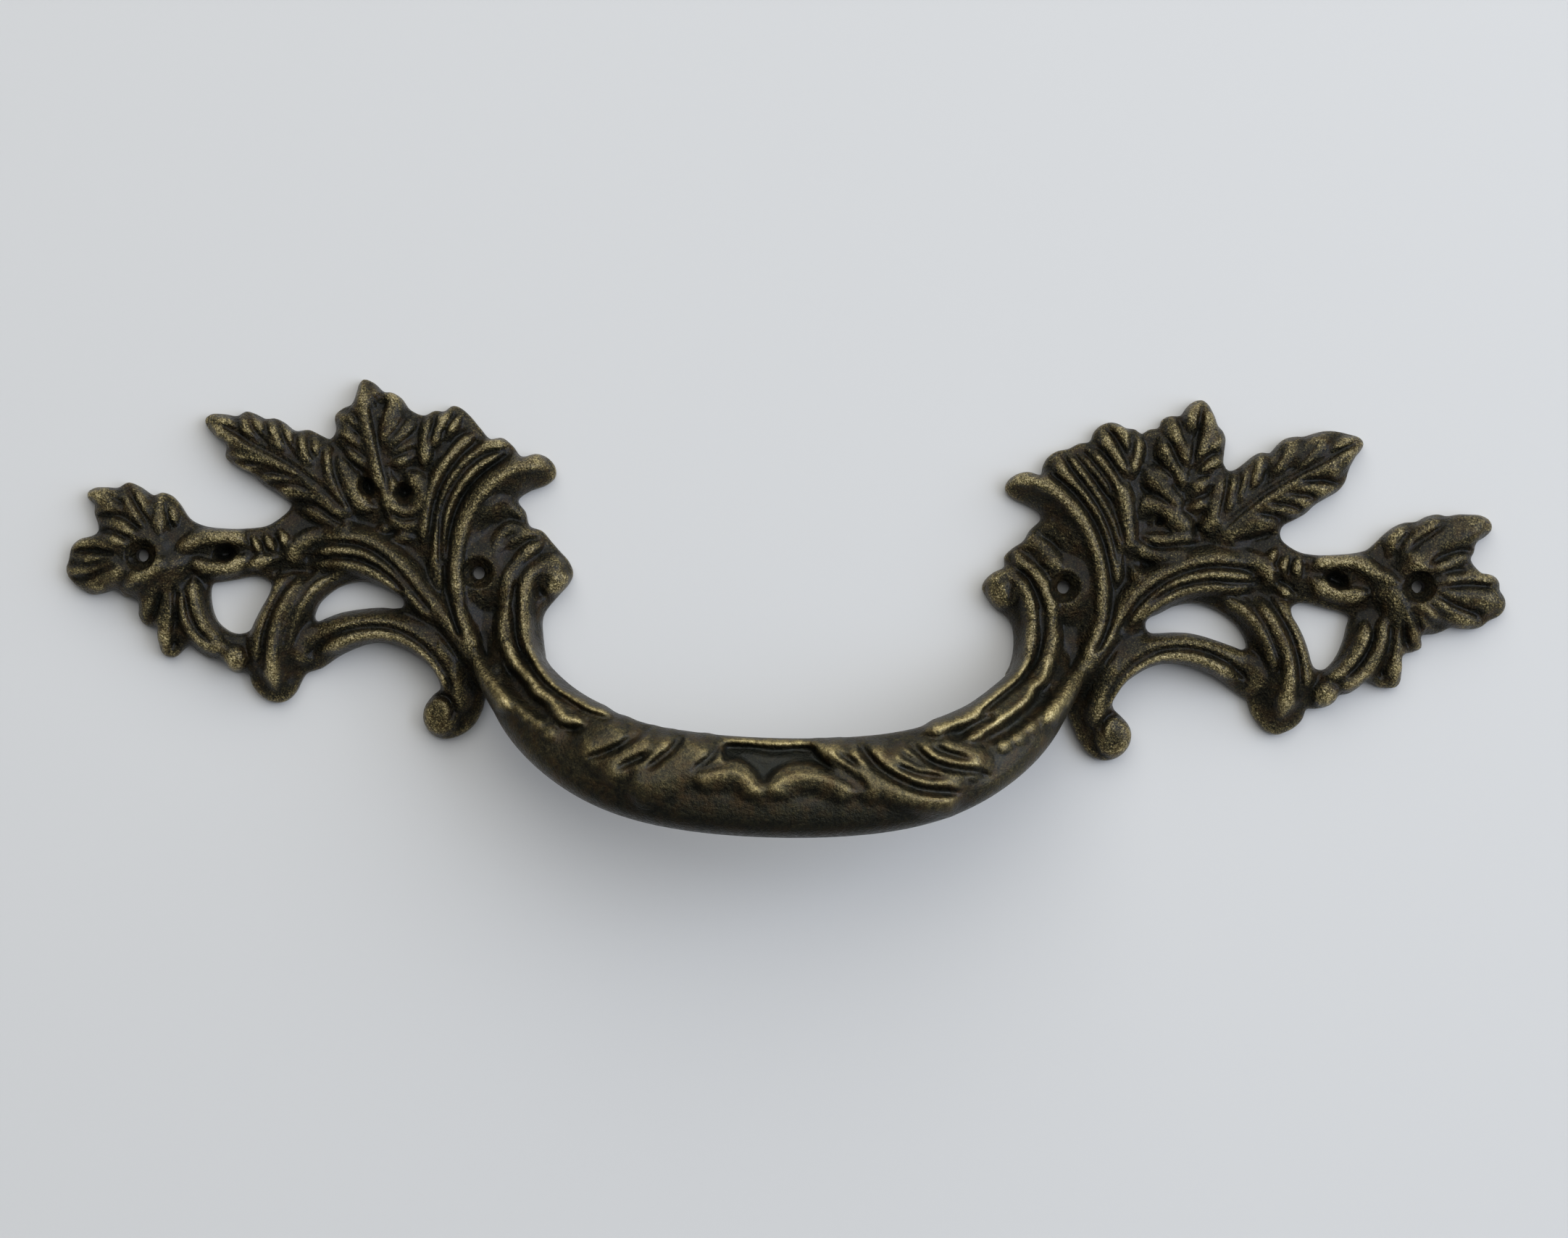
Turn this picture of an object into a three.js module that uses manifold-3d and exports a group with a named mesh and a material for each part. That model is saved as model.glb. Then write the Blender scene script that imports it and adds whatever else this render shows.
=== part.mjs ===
// Rococo drawer pull: one bronzed casting with two carved leaf wings joined by a bowed grip.
// Millimetres. The flat back lies on z = 0, +Z points out of the drawer front,
// +X runs to the right along the pull and +Y points up the drawer front.

import * as THREE from 'three';
import { mergeVertices } from 'three/addons/utils/BufferGeometryUtils.js';
import Module from 'manifold-3d';

const wasm = await Module();
wasm.setup();

// Screw holes
const screwSpacing = 76;
const leftReach = 43.7;
const rightReach = 46;
const outerHoleLift = 1.2;
const boreDiameter = 1.9;
const counterboreDiameter = 3.9;
const counterboreDepth = 1.3;

// Heights above the back
const plateThickness = 2.3;
const groundHeight = 3;
const leafHeight = 3.9;
const branchHeight = 4.6;
const scrollHeight = 5.4;
const rimHeight = 6;
const ballHeight = 6.2;

// Grip: half an ellipse that drops down the drawer front and rises away from it, rooted
// just inside the inner screw holes
const rootInset = 4.7;
const rootY = -11.5;
const rootHeight = 4.2;
const gripDrop = 14.7;
const gripRise = 15.4;
const gripFlatness = 0.28;
const gripHalfWidth = 6.3;
const legHalfWidth = 3.2;
const legWidening = 0.7;
const legDegrees = 35;
const rootFullness = 0.66;
const rootSpread = 0.6;
const rootSpreadShare = 0.25;
const rootRun = 0.35;
const gripFaceBulge = 3.7;
const gripBackBulge = 3.1;
const gripLean = 15;
const carvingRelief = 0.75;

// Faceting
const ringSpacing = 3.9;
const endTaper = 2.2;
const endShare = 0.4;
const gripRings = 25;
const gripSides = 12;
const holeSides = 20;

// Plan of the carving as drawn, in millimetres from the middle of the pull and the line of the
// inner holes. A stroke is its half width and then the points of its crest line.
const drawnInnerLeft = -39.3;
const drawnInnerRight = 36.7;
const drawnSpacing = 76;
const drawnLeftReach = 43.7;
const drawnRightReach = 46;

// The grip's carving is drawn as it is seen from in front of this point, at this distance
const viewX = 0.5;
const viewY = -5;
const viewDistance = 500;

// Left wing
const leftOutline = [
  [-64, 8.3], [-64.3, 7.6], [-65.2, 6.7], [-67, 5.5], [-70, 5.05], [-72.5, 5], [-75.5, 5.35],
    [-77.2, 6.2], [-78.5, 8], [-79.6, 9.1], [-80.9, 9.5], [-81.9, 9.1], [-83.8, 10.2], [-85.3, 10.7],
    [-86.6, 10], [-88, 10], [-89.6, 9.9], [-90.5, 9.3], [-90.5, 8.5], [-89.6, 7.7], [-89.6, 6.6],
    [-89.1, 5.2], [-89, 4.4], [-89.6, 3.7], [-91.6, 3.05], [-92.5, 2], [-92.8, 0.4], [-93.1, -0.8],
    [-92.7, -1.9], [-91.4, -3.1], [-89.7, -4], [-88.2, -3.8], [-86.5, -3.3], [-85.4, -4.2],
    [-84.2, -4.4], [-83.6, -4.8], [-83.5, -6.6], [-82.8, -7.7], [-81.8, -8], [-81, -8], [-80.9, -9.6],
    [-80.4, -11.3], [-79.6, -11.9], [-78.7, -11.9], [-76.7, -10.3], [-75.5, -11.2], [-74.2, -11.9],
    [-72, -12.3], [-71.5, -13.1], [-70.8, -13.7], [-69.1, -13.75], [-68.5, -15.3], [-67.5, -16.5],
    [-66.2, -17.3], [-65, -17.5], [-63.8, -17.1], [-62.7, -15.9], [-62.1, -14.6], [-61.45, -13.6],
    [-59.6, -12.9], [-57.4, -11.35], [-55.4, -10.3], [-53.5, -9.6], [-51.7, -9.4], [-50, -9.7],
    [-48.4, -10.2], [-46.8, -11.2], [-45.4, -12.2], [-44.3, -13.6], [-43.9, -15.1], [-44.9, -16],
    [-45.9, -17.4], [-46.1, -19.2], [-45.3, -20.8], [-44, -21.6], [-42.5, -21.6], [-40.8, -20.9],
    [-39.4, -19.6], [-38.5, -17.8], [-37.9, -15.8], [-35.2, -13.6], [-31.5, -12.2], [-30.4, -11],
    [-31, -9.3], [-31.2, -7.6], [-30.9, -6], [-30.3, -4.4], [-28.9, -2.65], [-27.6, -1.1],
    [-27.1, 0.2], [-27.7, 1.8], [-28.9, 3.1], [-30, 4.3], [-31.3, 5.7], [-32.9, 6.3], [-33.5, 8.1],
    [-34.5, 9.55], [-33, 10.8], [-30.8, 11.7], [-29.7, 12.8], [-29.8, 14.1], [-30.9, 15.3],
    [-32.2, 15.7], [-34.15, 15.3], [-35.4, 16.7], [-36.8, 17.7], [-38.3, 17.5], [-39.6, 18.8],
    [-41, 20.4], [-42.2, 21.4], [-43.25, 21.7], [-44.45, 20.95], [-45.6, 21], [-47, 20.35],
    [-48.9, 21.1], [-50, 22.5], [-51.2, 23.2], [-52.3, 23.3], [-53.6, 24.4], [-55, 24.85],
    [-55.6, 24.1], [-55.9, 23], [-56.4, 21.6], [-57.6, 21], [-58.6, 20], [-58.4, 18.1], [-59.1, 17],
    [-60.4, 17.45], [-61.9, 18.1], [-63.7, 17.95], [-65.2, 19], [-66.4, 19.5], [-67.6, 19.4],
    [-68.9, 20], [-70.2, 20.3], [-71.3, 19.7], [-73, 19.9], [-74.8, 19.8], [-75.5, 19.1],
    [-75.2, 18.2], [-74, 16.9], [-72.6, 15.9], [-72.7, 14.3], [-71.3, 13.1], [-69.1, 12.1], [-68, 11],
    [-66, 9.8], [-64.6, 8.85]
];
const leftEndWindow = [
  [-74.2, -3], [-73.9, -2.2], [-72.9, -2], [-70.8, -1.6], [-68.8, -1.2], [-67.4, -1.3], [-66.4, -2],
    [-66.5, -3.4], [-67.5, -5.25], [-68.4, -6.95], [-69, -8.2], [-69.9, -8.6], [-71, -8.6],
    [-72.25, -8], [-73.3, -7], [-74, -5.2]
];
const leftScrollWindow = [
  [-60.6, -6.4], [-60.1, -4.65], [-59, -3.4], [-57.5, -2.3], [-56, -1.75], [-54.5, -1.55],
    [-52.8, -1.8], [-51.2, -2.25], [-50, -2.9], [-49, -3.7], [-49, -4.6], [-50, -4.85], [-52, -4.8],
    [-54.5, -5.05], [-57.2, -5.6], [-59, -6.3], [-60.2, -6.8]
];
const leftEndLeaf = [
  [0.75, [-80.9, 9], [-80.8, 7], [-80.6, 4.3]],
  [0.7, [-86, 9.6], [-85, 8.2], [-84.2, 6.9], [-82.9, 5.2]],
  [0.6, [-84.5, 10], [-83.3, 8.2], [-81.9, 6]],
  [0.95, [-89.9, 9], [-87.5, 8.4], [-85.4, 7.4]],
  [0.7, [-89.2, 7], [-87, 7.3], [-85, 6.4]],
  [0.8, [-88.4, 5.6], [-86, 5.2], [-84, 4]],
  [0.7, [-92, 2.2], [-90, 2.7], [-88, 2.4], [-86.3, 1.9]],
  [0.85, [-91.6, 0.9], [-89.5, 0.4], [-86.8, 0.8]],
  [0.85, [-92.3, -1], [-90.3, -0.7], [-88, -0.1], [-86.3, 0.4]],
  [0.95, [-90.5, -2.9], [-88.5, -2.1], [-86.6, -1.2], [-84.9, -0.8]],
  [0.85, [-85.2, -3.5], [-83.9, -2.5], [-82.4, -1.5], [-80.5, -0.3], [-79, 0.8]],
  [0.85, [-82.6, -6.9], [-82, -5], [-81.1, -3.4], [-80, -1.7]],
  [0.95, [-79.7, -10.7], [-79.9, -8], [-79.8, -5], [-79.3, -2], [-78.3, 0], [-77, 1.6]],
];
const leftHoop = [
  [0.85, [-78.3, -2.8], [-77.8, -4.8], [-76.9, -6.9], [-75.8, -8.6], [-74.5, -9.8], [-72.8, -10.4],
    [-71, -10.5]],
  [0.8, [-76.2, -1.4], [-76.2, -3.5], [-75.8, -5.5], [-75, -7.3], [-73.8, -8.9], [-72.2, -9.7]],
];
const leftBranch = [
  [0.85, [-78.6, 1.4], [-77.2, 2.6], [-75.2, 3.7], [-73, 4], [-70.8, 3.9], [-69.5, 3]],
  [0.8, [-77, 0.8], [-74.4, -0.3], [-72, -0.2], [-70.3, 0.5], [-69.2, 1.6]],
  [0.55, [-68.6, 4], [-68.1, 2.7], [-67.4, 1.7]],
  [0.55, [-66.9, 4.3], [-66.4, 3], [-65.7, 2.2]],
];
const leftLongLeaf = [
  [0.85, [-74.4, 18.7], [-71.5, 16.6], [-68.5, 15], [-65.5, 13.6], [-62.5, 12.1], [-60.2, 10.6],
    [-57.8, 8.3], [-56, 6.6]],
  [0.7, [-70.6, 19.6], [-69.7, 18.1], [-68.3, 16.5]],
  [0.7, [-66.9, 19], [-66.4, 17.6], [-65.6, 16.2], [-64.4, 15]],
  [0.6, [-65.3, 18.7], [-64.5, 17.2], [-63.6, 15.7]],
  [0.7, [-62.8, 17.5], [-62.5, 15.9], [-61.8, 14.3], [-60.8, 12.9]],
  [0.75, [-59.4, 16.2], [-59.3, 14.5], [-58.8, 12.3], [-57.6, 9.8], [-56.2, 7.8]],
  [0.7, [-57.9, 15.2], [-57, 13], [-56, 10.7], [-55.2, 9], [-54, 7.4]],
  [0.75, [-72.2, 14.9], [-70, 14.2], [-67.6, 13.9], [-65.3, 13.1]],
  [0.7, [-68.2, 11.6], [-65.8, 11.7], [-63.4, 11.6], [-61.2, 10.6]],
  [0.9, [-66, 10.4], [-64, 10.2], [-62, 9.9], [-60.2, 9.2], [-58.4, 7.7], [-56.4, 6]],
  [0.7, [-62.6, 8], [-60.6, 7.5], [-58.8, 6.4], [-57, 5.6], [-55, 5.2]],
];
const leftTopLeaf = [
  [0.75, [-55, 24], [-54.7, 22.4], [-54.5, 20.4], [-54, 18], [-53.2, 15.5], [-52.5, 13], [-51.5, 10.2]],
  [0.7, [-56.1, 22], [-55.6, 20.8], [-55.2, 19.4]],
  [0.75, [-58, 20], [-56.3, 19], [-55.2, 17.6]],
  [0.75, [-57.9, 18.6], [-56.4, 17], [-54.7, 15.3]],
  [0.75, [-57, 16.2], [-55.5, 14.7], [-53.8, 13.3]],
  [0.75, [-52.4, 22.4], [-51.3, 22.6], [-50.8, 21.4], [-51.6, 19.8], [-52.5, 18]],
  [0.75, [-49.8, 20.6], [-50.6, 18.9], [-51.8, 17.2], [-52.4, 16]],
  [0.75, [-48.2, 19.9], [-49.1, 18.2], [-50.3, 16.8], [-51.6, 15.5]],
  [0.7, [-47.5, 17.2], [-49.3, 16.1], [-51.2, 14.9]],
  [0.65, [-55.5, 12.6], [-55.3, 10.4], [-54.4, 8.4], [-52.9, 8.1]],
  [0.7, [-51.5, 12.6], [-51.1, 10.4], [-50.7, 8.4], [-49.3, 7.5], [-47.6, 8], [-46.9, 9.6],
    [-47.5, 11.6], [-48.9, 12.9]],
  [0.6, [-51.4, 7.3], [-49.8, 6.2], [-48.2, 6], [-46.8, 7]],
];
const leftFan = [
  [0.75, [-46.1, 20.2], [-46.4, 18.6], [-46.6, 16.5], [-46.6, 13.5]],
  [0.75, [-43.5, 21], [-44.2, 19.8], [-45.2, 17.9], [-45.9, 15.8]],
  [0.75, [-40.4, 18], [-42.4, 15.9], [-44.1, 13.6], [-45.4, 11], [-46, 9], [-46.3, 6.6], [-46.6, 3.8]],
  [0.85, [-36, 16.9], [-38.5, 16.4], [-40.6, 15.1], [-42.4, 13], [-43.8, 10.4], [-44.6, 7.5],
    [-44.9, 5], [-44.8, 1.6], [-44, -2.6]],
];
const leftRims = [
  [1.15, [-30.8, 14], [-32.6, 14.7], [-35, 14.2], [-37, 12.9], [-38.8, 11.3], [-40.3, 9.2],
    [-41.5, 6.9], [-42.2, 4.4], [-42.5, 1.6], [-42.4, -1.4], [-42, -4.6]],
  [1, [-31.2, 4.2], [-33, 2.7], [-34.3, 0.8], [-35.2, -1], [-35.7, -3.2], [-35.7, -6], [-35.4, -9],
    [-34.3, -11.4]],
  [1.1, [-28.7, 0.9], [-29.7, 1.7], [-31.3, 1.3], [-32.5, 0], [-33.2, -2], [-33.4, -4.4], [-33, -7.4],
    [-32.2, -10], [-31.3, -11.8]],
  [0.75, [-34.3, 8.3], [-36, 8.1], [-37.6, 7.4], [-38.8, 6.2]],
  [0.65, [-34.2, 6.1], [-35.6, 5.4], [-36.9, 3.9]],
];
const leftScroll = [
  [1.15, [-61.9, 0.6], [-63, 1.7], [-62.4, 3], [-60.8, 3.9], [-58.8, 4.3], [-56.4, 4.4], [-54, 4.1],
    [-51.9, 3.1], [-49.9, 1.5], [-47.9, -0.6], [-46.2, -2.7], [-44.5, -4.6], [-42.9, -6.3],
    [-41.4, -8.4], [-39.9, -10.9], [-38.3, -13.2]],
  [0.85, [-60.4, 2.1], [-58, 2.5], [-55.2, 2.3], [-52.7, 1.4], [-50.5, 0], [-48.5, -2], [-46.6, -4.2],
    [-44.9, -6.2]],
  [0.8, [-60.8, 0.4], [-58.2, 0.7], [-55.4, 0.5], [-52.8, -0.3], [-50.7, -1.6], [-48.9, -3.2]],
];
const leftStrap = [
  [0.9, [-56.4, -0.4], [-58.7, -0.8], [-60.5, -2], [-62, -3.9], [-63.1, -6.2], [-63.7, -8.6],
    [-64, -11]],
  [1, [-61.7, -0.9], [-63.1, -2.1], [-64.4, -4.3], [-65.3, -7], [-65.8, -10], [-65.8, -13],
    [-65.3, -15.6]],
  [0.8, [-63.7, -0.8], [-65.2, -2.6], [-66.5, -4.9], [-67.4, -7.4], [-67.9, -9.8], [-67.9, -12.4]],
];
const leftLowerScroll = [
  [1.1, [-60.6, -11.9], [-62, -11.2], [-61.8, -9.8], [-60.4, -8.6], [-58.5, -7.7], [-56, -6.9],
    [-53.6, -6.5], [-51.2, -6.5], [-48.8, -7.1], [-46.5, -8.2], [-44.4, -9.8], [-42.7, -11.8],
    [-41.5, -13.9], [-41, -16.2], [-41.4, -18.4]],
  [0.9, [-59.2, -10.6], [-57.3, -9.5], [-54.8, -8.5], [-52, -8.1], [-49.2, -8.5], [-46.8, -9.7],
    [-44.8, -11.5], [-43.4, -13.6], [-42.9, -15.4]],
];
const leftGround = [
  [3.2, [-72.5, 17.4], [-67, 15.2], [-61, 12.4], [-55, 7.6]],
  [4, [-54.6, 21.4], [-53, 15.6], [-50.6, 8]],
  [3, [-88.5, 0.6], [-80, 1.4], [-71, 2.4], [-63, 4]],
];
const leftMass = [
  [3.4, [-59.6, 2], [-56.4, 2.4], [-53, 1.6], [-50, -0.4], [-47.2, -3.2], [-44.4, -6.2], [-41.6, -9.8],
    [-38.6, -13.4]],
  [2.7, [-59.4, -10.4], [-56, -8.9], [-52, -8], [-48.4, -8.6], [-45.2, -10.8], [-43, -14],
    [-42.4, -17.4]],
  [2.9, [-60, -2.4], [-63, -4.6], [-65, -8], [-65.6, -12], [-65.2, -14.6]],
  [2.6, [-30.4, 0.2], [-33.4, -1.6], [-34.6, -5], [-34.4, -8.6], [-33.4, -11]],
];
const leftBalls = [
  [-70.7, -11.9, 1.9],
  [-43.9, -18.7, 2.7],
  [-65.2, -15, 2.5],
  [-29.3, -0.8, 2.1],
  [-31.3, 13.4, 1.7],
];

// Right wing
const rightOutline = [
  [37.5, -15.9], [38, -17.2], [38.6, -18.6], [39.4, -20.1], [40.4, -21.4], [41.6, -22.2],
    [42.9, -22.4], [44.3, -22], [45.3, -21.1], [45.9, -19.9], [46, -18.7], [45.6, -17.6],
    [44.7, -16.6], [43.7, -15.7], [43.4, -14.8], [44.1, -13.4], [45.1, -12.1], [46.6, -11],
    [48.2, -10.1], [49.8, -9.65], [51.5, -9.65], [53.5, -10], [55.5, -10.6], [57.2, -11.5],
    [58.7, -12.6], [60, -13.5], [60.9, -14], [61.6, -15.8], [62.5, -17.1], [63.5, -18], [64.8, -18.5],
    [66, -18.2], [67.4, -17.4], [68.3, -16.4], [68.8, -15.1], [70, -15], [71.4, -14.7], [72.3, -14],
    [72.9, -13.2], [74.2, -12.9], [75.3, -12.2], [76.4, -11.3], [77.3, -11.5], [78.2, -12],
    [79.4, -12.1], [80.4, -11.9], [80.95, -11.1], [81, -9.5], [81.1, -7.8], [82.5, -7.3], [83.5, -6.8],
    [83.6, -6], [83.5, -5.2], [85.2, -4.9], [86.3, -4.5], [87.2, -4.05], [88.7, -4.15], [90.2, -4.15],
    [91.3, -3.8], [92.3, -3], [93.5, -2.4], [94.2, -1.6], [94.4, -0.6], [94.1, 0.3], [93.6, 1],
    [93.5, 2], [92.9, 2.8], [91.9, 3.1], [91, 3.2], [90.1, 4.2], [89.7, 5], [90.1, 5.9], [90.3, 7],
    [91.6, 8], [92.3, 8.8], [92.3, 9.6], [91.8, 10.3], [90.8, 10.7], [89.3, 10.75], [87.9, 10.75],
    [86.4, 10.5], [85.2, 10.7], [83.8, 10.35], [82.6, 9.7], [81, 9.5], [79.8, 9], [78.6, 8.1],
    [77.4, 6.9], [76.2, 5.85], [74.6, 5.4], [72, 5.1], [69.8, 5], [67.6, 5.25], [66.2, 5.9],
    [65.1, 6.8], [64.8, 7.7], [65.2, 8.7], [66.6, 9.5], [68.1, 10.4], [69.2, 11.5], [70.8, 12.5],
    [72.2, 13.4], [73.1, 14.6], [73.5, 16], [74.2, 17.7], [75.1, 18.8], [75.4, 19.7], [74.9, 20.4],
    [73.2, 20.9], [71.5, 21.2], [70.1, 21.15], [68.8, 20.8], [67.6, 20.4], [66.3, 20.35], [65.1, 20],
    [64.1, 19.1], [63.2, 18.15], [62.1, 18.2], [61.1, 17.7], [59.8, 16.6], [58.6, 15.8], [57.8, 15.75],
    [57.2, 16.6], [57.25, 18.2], [57.4, 19.9], [57, 20.9], [56.3, 21.6], [55.8, 22.9], [55.2, 24.1],
    [54.3, 24.8], [53.2, 24.6], [52.2, 23.7], [51.5, 22.75], [50, 22.6], [49.1, 22.1], [48.7, 21.1],
    [47.4, 20.8], [46.5, 20.25], [45.6, 20.8], [44.4, 20.95], [43.4, 21.5], [42.2, 21.6], [41, 21.1],
    [40.2, 20.2], [39.8, 19.1], [38.3, 18.75], [37, 18.05], [35.5, 17.7], [34.3, 16.8], [33.7, 15.6],
    [33.5, 14.55], [31.8, 14.9], [30.2, 14.5], [29.1, 13.5], [28.9, 12.5], [29.8, 11.5], [31.6, 10.7],
    [33.3, 9.7], [33.6, 8.8], [32.3, 7.4], [31.4, 5.9], [30, 4.9], [29, 3.8], [29, 2.5], [27.6, 1.7],
    [26.5, 0.6], [26.2, -0.4], [27, -1.8], [28, -3], [29.2, -3.8], [30.1, -5], [30.5, -7], [30.4, -9],
    [29.9, -10.8], [31, -12.2], [34.6, -13.6]
];
const rightEndWindow = [
  [74.05, -2.9], [73.3, -2.4], [71.8, -2.1], [70.2, -1.7], [68.6, -1.35], [67.3, -1.35], [66.5, -2],
    [66.5, -2.9], [67.3, -4.2], [68.1, -5.7], [68.8, -7.5], [69.3, -9.1], [69.9, -9.8], [70.9, -9.9],
    [71.7, -9.3], [72.6, -8], [73.4, -6], [73.8, -4.2]
];
const rightScrollWindow = [
  [60.8, -7.2], [60.5, -6.1], [59.8, -4.9], [58.8, -3.8], [57.4, -2.8], [55.9, -2.1], [54.4, -1.75],
    [52.8, -1.75], [51, -2.2], [49.3, -3.1], [47.7, -3.95], [47.5, -4.9], [48.1, -5.6], [49.3, -5.65],
    [51.2, -5.5], [53.2, -5.55], [55, -5.9], [57, -6.5], [59, -7.15], [60.3, -7.55]
];
const rightEndLeaf = [
  [0.75, [78.8, 5.4], [79.5, 6.8], [80.3, 7.9], [81.5, 8.7]],
  [0.75, [80.3, 5], [81.3, 6.7], [82.6, 7.8], [84, 8.9], [85.6, 10]],
  [1.35, [80.9, 3.6], [82.4, 5], [84.2, 6.4], [86.2, 7.6], [88.2, 8.6], [90.2, 9.3], [91.6, 9.3]],
  [0.9, [84.2, 3.6], [86, 4.3], [87.6, 4.9], [89.2, 4.9]],
  [0.85, [85.6, 1.8], [87.2, 2.3], [89.2, 2.7], [91, 2.5], [92.8, 2]],
  [1.2, [85.6, 0.6], [87.6, 0.2], [89.6, 0], [91.6, -0.2], [93.6, -0.8]],
  [0.9, [84.3, -0.4], [86.2, -1.5], [88.3, -2.6], [90.6, -3.2]],
  [0.8, [82.3, -0.9], [84, -2], [86.2, -2.9]],
  [0.85, [80.3, -1], [81.5, -3], [82.3, -5], [82.8, -6.5]],
  [0.95, [76.8, 1.8], [78.3, 0.4], [79.5, -1.2], [79.9, -3.4], [80, -6], [80, -8.6], [79.9, -11]],
];
const rightHoop = [
  [0.85, [78.6, -2.4], [78.4, -4.8], [77.7, -7.2], [76.6, -9.2], [75.3, -10.8], [73.9, -11.6],
    [72.3, -12]],
  [0.8, [76, -3.6], [75.7, -5.8], [74.8, -7.8], [73.6, -9.5], [72.2, -10.6], [70.6, -11]],
];
const rightBranch = [
  [0.85, [80.1, 1.3], [78.4, 2], [76.7, 3], [74.9, 4.1], [72.8, 4.5], [70.6, 4.3], [69.1, 3.5]],
  [0.85, [76.4, 0.2], [74.2, -0.3], [72, 0.1], [70.2, 0.8], [68.8, 1.9]],
  [0.6, [67.2, 4.6], [66.8, 3.3], [67.2, 2]],
  [0.6, [64.2, 5.6], [63.6, 4.6], [63.4, 3.4]],
];
const rightLongLeaf = [
  [0.9, [74.7, 19.4], [72.6, 17.9], [70.4, 16.7], [68, 15.5], [65.4, 13.9], [62.6, 12], [60.2, 10.2],
    [58, 8.4], [56.4, 7]],
  [0.9, [70.7, 20.6], [69, 19], [67.4, 17.4], [65.8, 16]],
  [0.9, [66.8, 20], [65.6, 18.4], [64.2, 16.8], [62.8, 15.2]],
  [0.7, [62.3, 17.8], [61.5, 16.3], [60.9, 14.7], [60.4, 13]],
  [0.6, [60.1, 16.3], [59.9, 14.6], [59.5, 12.9], [58.8, 11.2]],
  [0.8, [57, 15.1], [56.7, 13.2], [56.2, 11.2], [55.9, 9], [55.2, 7.4]],
  [0.9, [73, 16.6], [71, 16.3], [69, 15.9]],
  [0.75, [71.6, 13.7], [69.4, 13.5], [67.2, 13.5], [65, 13]],
  [0.75, [69.2, 11.7], [67.2, 11.9], [65, 12.1], [62.8, 11.4]],
  [1.1, [64, 8.3], [62.6, 9], [61, 9.2], [59.5, 8.3], [58, 7.2], [56.6, 6.3]],
];
const rightTopLeaf = [
  [0.7, [54, 24.3], [53.2, 23.2], [53, 21.8], [52.9, 20.2]],
  [0.75, [54.7, 23.8], [55.1, 22.2], [55.1, 20.4], [54.2, 18.6], [53.4, 16.6]],
  [0.8, [50.2, 22.1], [50.7, 20.6], [51.5, 18.9], [52.1, 17.2], [52.2, 15.6]],
  [0.75, [48.9, 19.6], [49.7, 17.7], [50.7, 15.9], [51.5, 14.2], [51.6, 12.8]],
  [0.8, [47, 15.8], [48.3, 14.3], [49.5, 12.7], [50.8, 11.1], [51.4, 9.8]],
  [0.75, [56.8, 20.2], [55.8, 19.2], [54.8, 17.8]],
  [0.7, [56.9, 17.2], [55.4, 16.3], [53.8, 15.1]],
  [0.85, [55.6, 14.8], [54.2, 13.7], [52.7, 12.3]],
  [0.8, [46.4, 9.6], [47.3, 10.8], [48.7, 11.1], [50.1, 10.1], [51.3, 9], [52.3, 8], [52.9, 6.9]],
  [0.6, [46.8, 6.9], [48.4, 6.4], [50.2, 6.3], [52, 6.8], [53.8, 6.7]],
  [0.6, [45.4, 6.2], [46.8, 5.1], [48.6, 4.5], [50.8, 4.6], [53, 5.4]],
];
const rightFan = [
  [0.7, [45.8, 20], [45.9, 18.6], [45.5, 16.6], [45.3, 14.6]],
  [0.7, [42.6, 21.1], [43.8, 20.4], [44.6, 19], [45, 17.4]],
  [0.85, [41.2, 20.2], [42, 18.9], [43.1, 17.4], [44.1, 15.8], [44.7, 14.4]],
  [0.95, [39.6, 17.8], [41, 16.4], [42.4, 14.8], [43.6, 13], [44.4, 11], [44.6, 8.8], [44.9, 6.6],
    [45.5, 4.6]],
  [0.9, [35.4, 16.8], [36.4, 15], [37.9, 13.2], [39.5, 11.4], [40.9, 9.3], [42, 7.1], [42.7, 4.9],
    [43.1, 2.5], [43.2, 0]],
];
const rightRims = [
  [1.15, [29.6, 13.4], [30.9, 14.2], [32.8, 14.1], [34.7, 13.2], [36.4, 12], [38, 10.3], [39.5, 8.2],
    [40.7, 5.9], [41.6, 3.4], [42, 0.9], [42.1, -1.6], [42, -4.2]],
  [1, [30.3, 4.4], [31.6, 3], [33, 1.2], [34.2, -0.7], [35, -2.9], [35.2, -5.4], [35.1, -8],
    [34.5, -10.4], [33.7, -12]],
  [1.15, [27.8, 0.3], [28.3, 1.2], [29.7, 1.2], [31.1, 0.2], [32.1, -1.6], [32.7, -3.8], [32.9, -6],
    [32.4, -8.4], [31.5, -10.6], [30.4, -12.2]],
  [0.8, [33, 7.6], [34.6, 7.7], [36.2, 7.3], [37.7, 6.3]],
  [0.65, [32, 5.7], [33.6, 5.8], [34.8, 4.8]],
];
const rightScroll = [
  [1.15, [62.8, 0.8], [63.3, 2], [62.4, 3.3], [60.8, 4], [58.8, 4.4], [56.2, 4.4], [53.8, 3.9],
    [51.4, 2.9], [49.4, 2], [47.5, 0.9], [45.8, -0.6], [44.5, -2.5], [43.2, -4.6], [41.9, -6.8],
    [40.7, -9], [39.3, -11.2], [37.9, -13.2]],
  [0.85, [61.2, 1.9], [58.8, 1.9], [56, 2.1], [53.2, 1.6], [50.8, 0.7], [48.6, -0.8], [46.7, -2.6],
    [45.2, -4.6]],
  [0.8, [61, 0.6], [58.2, 0.5], [55.2, 0.5], [52.4, 0], [50, -1.1], [47.9, -2.6], [46.1, -4.4]],
];
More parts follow.
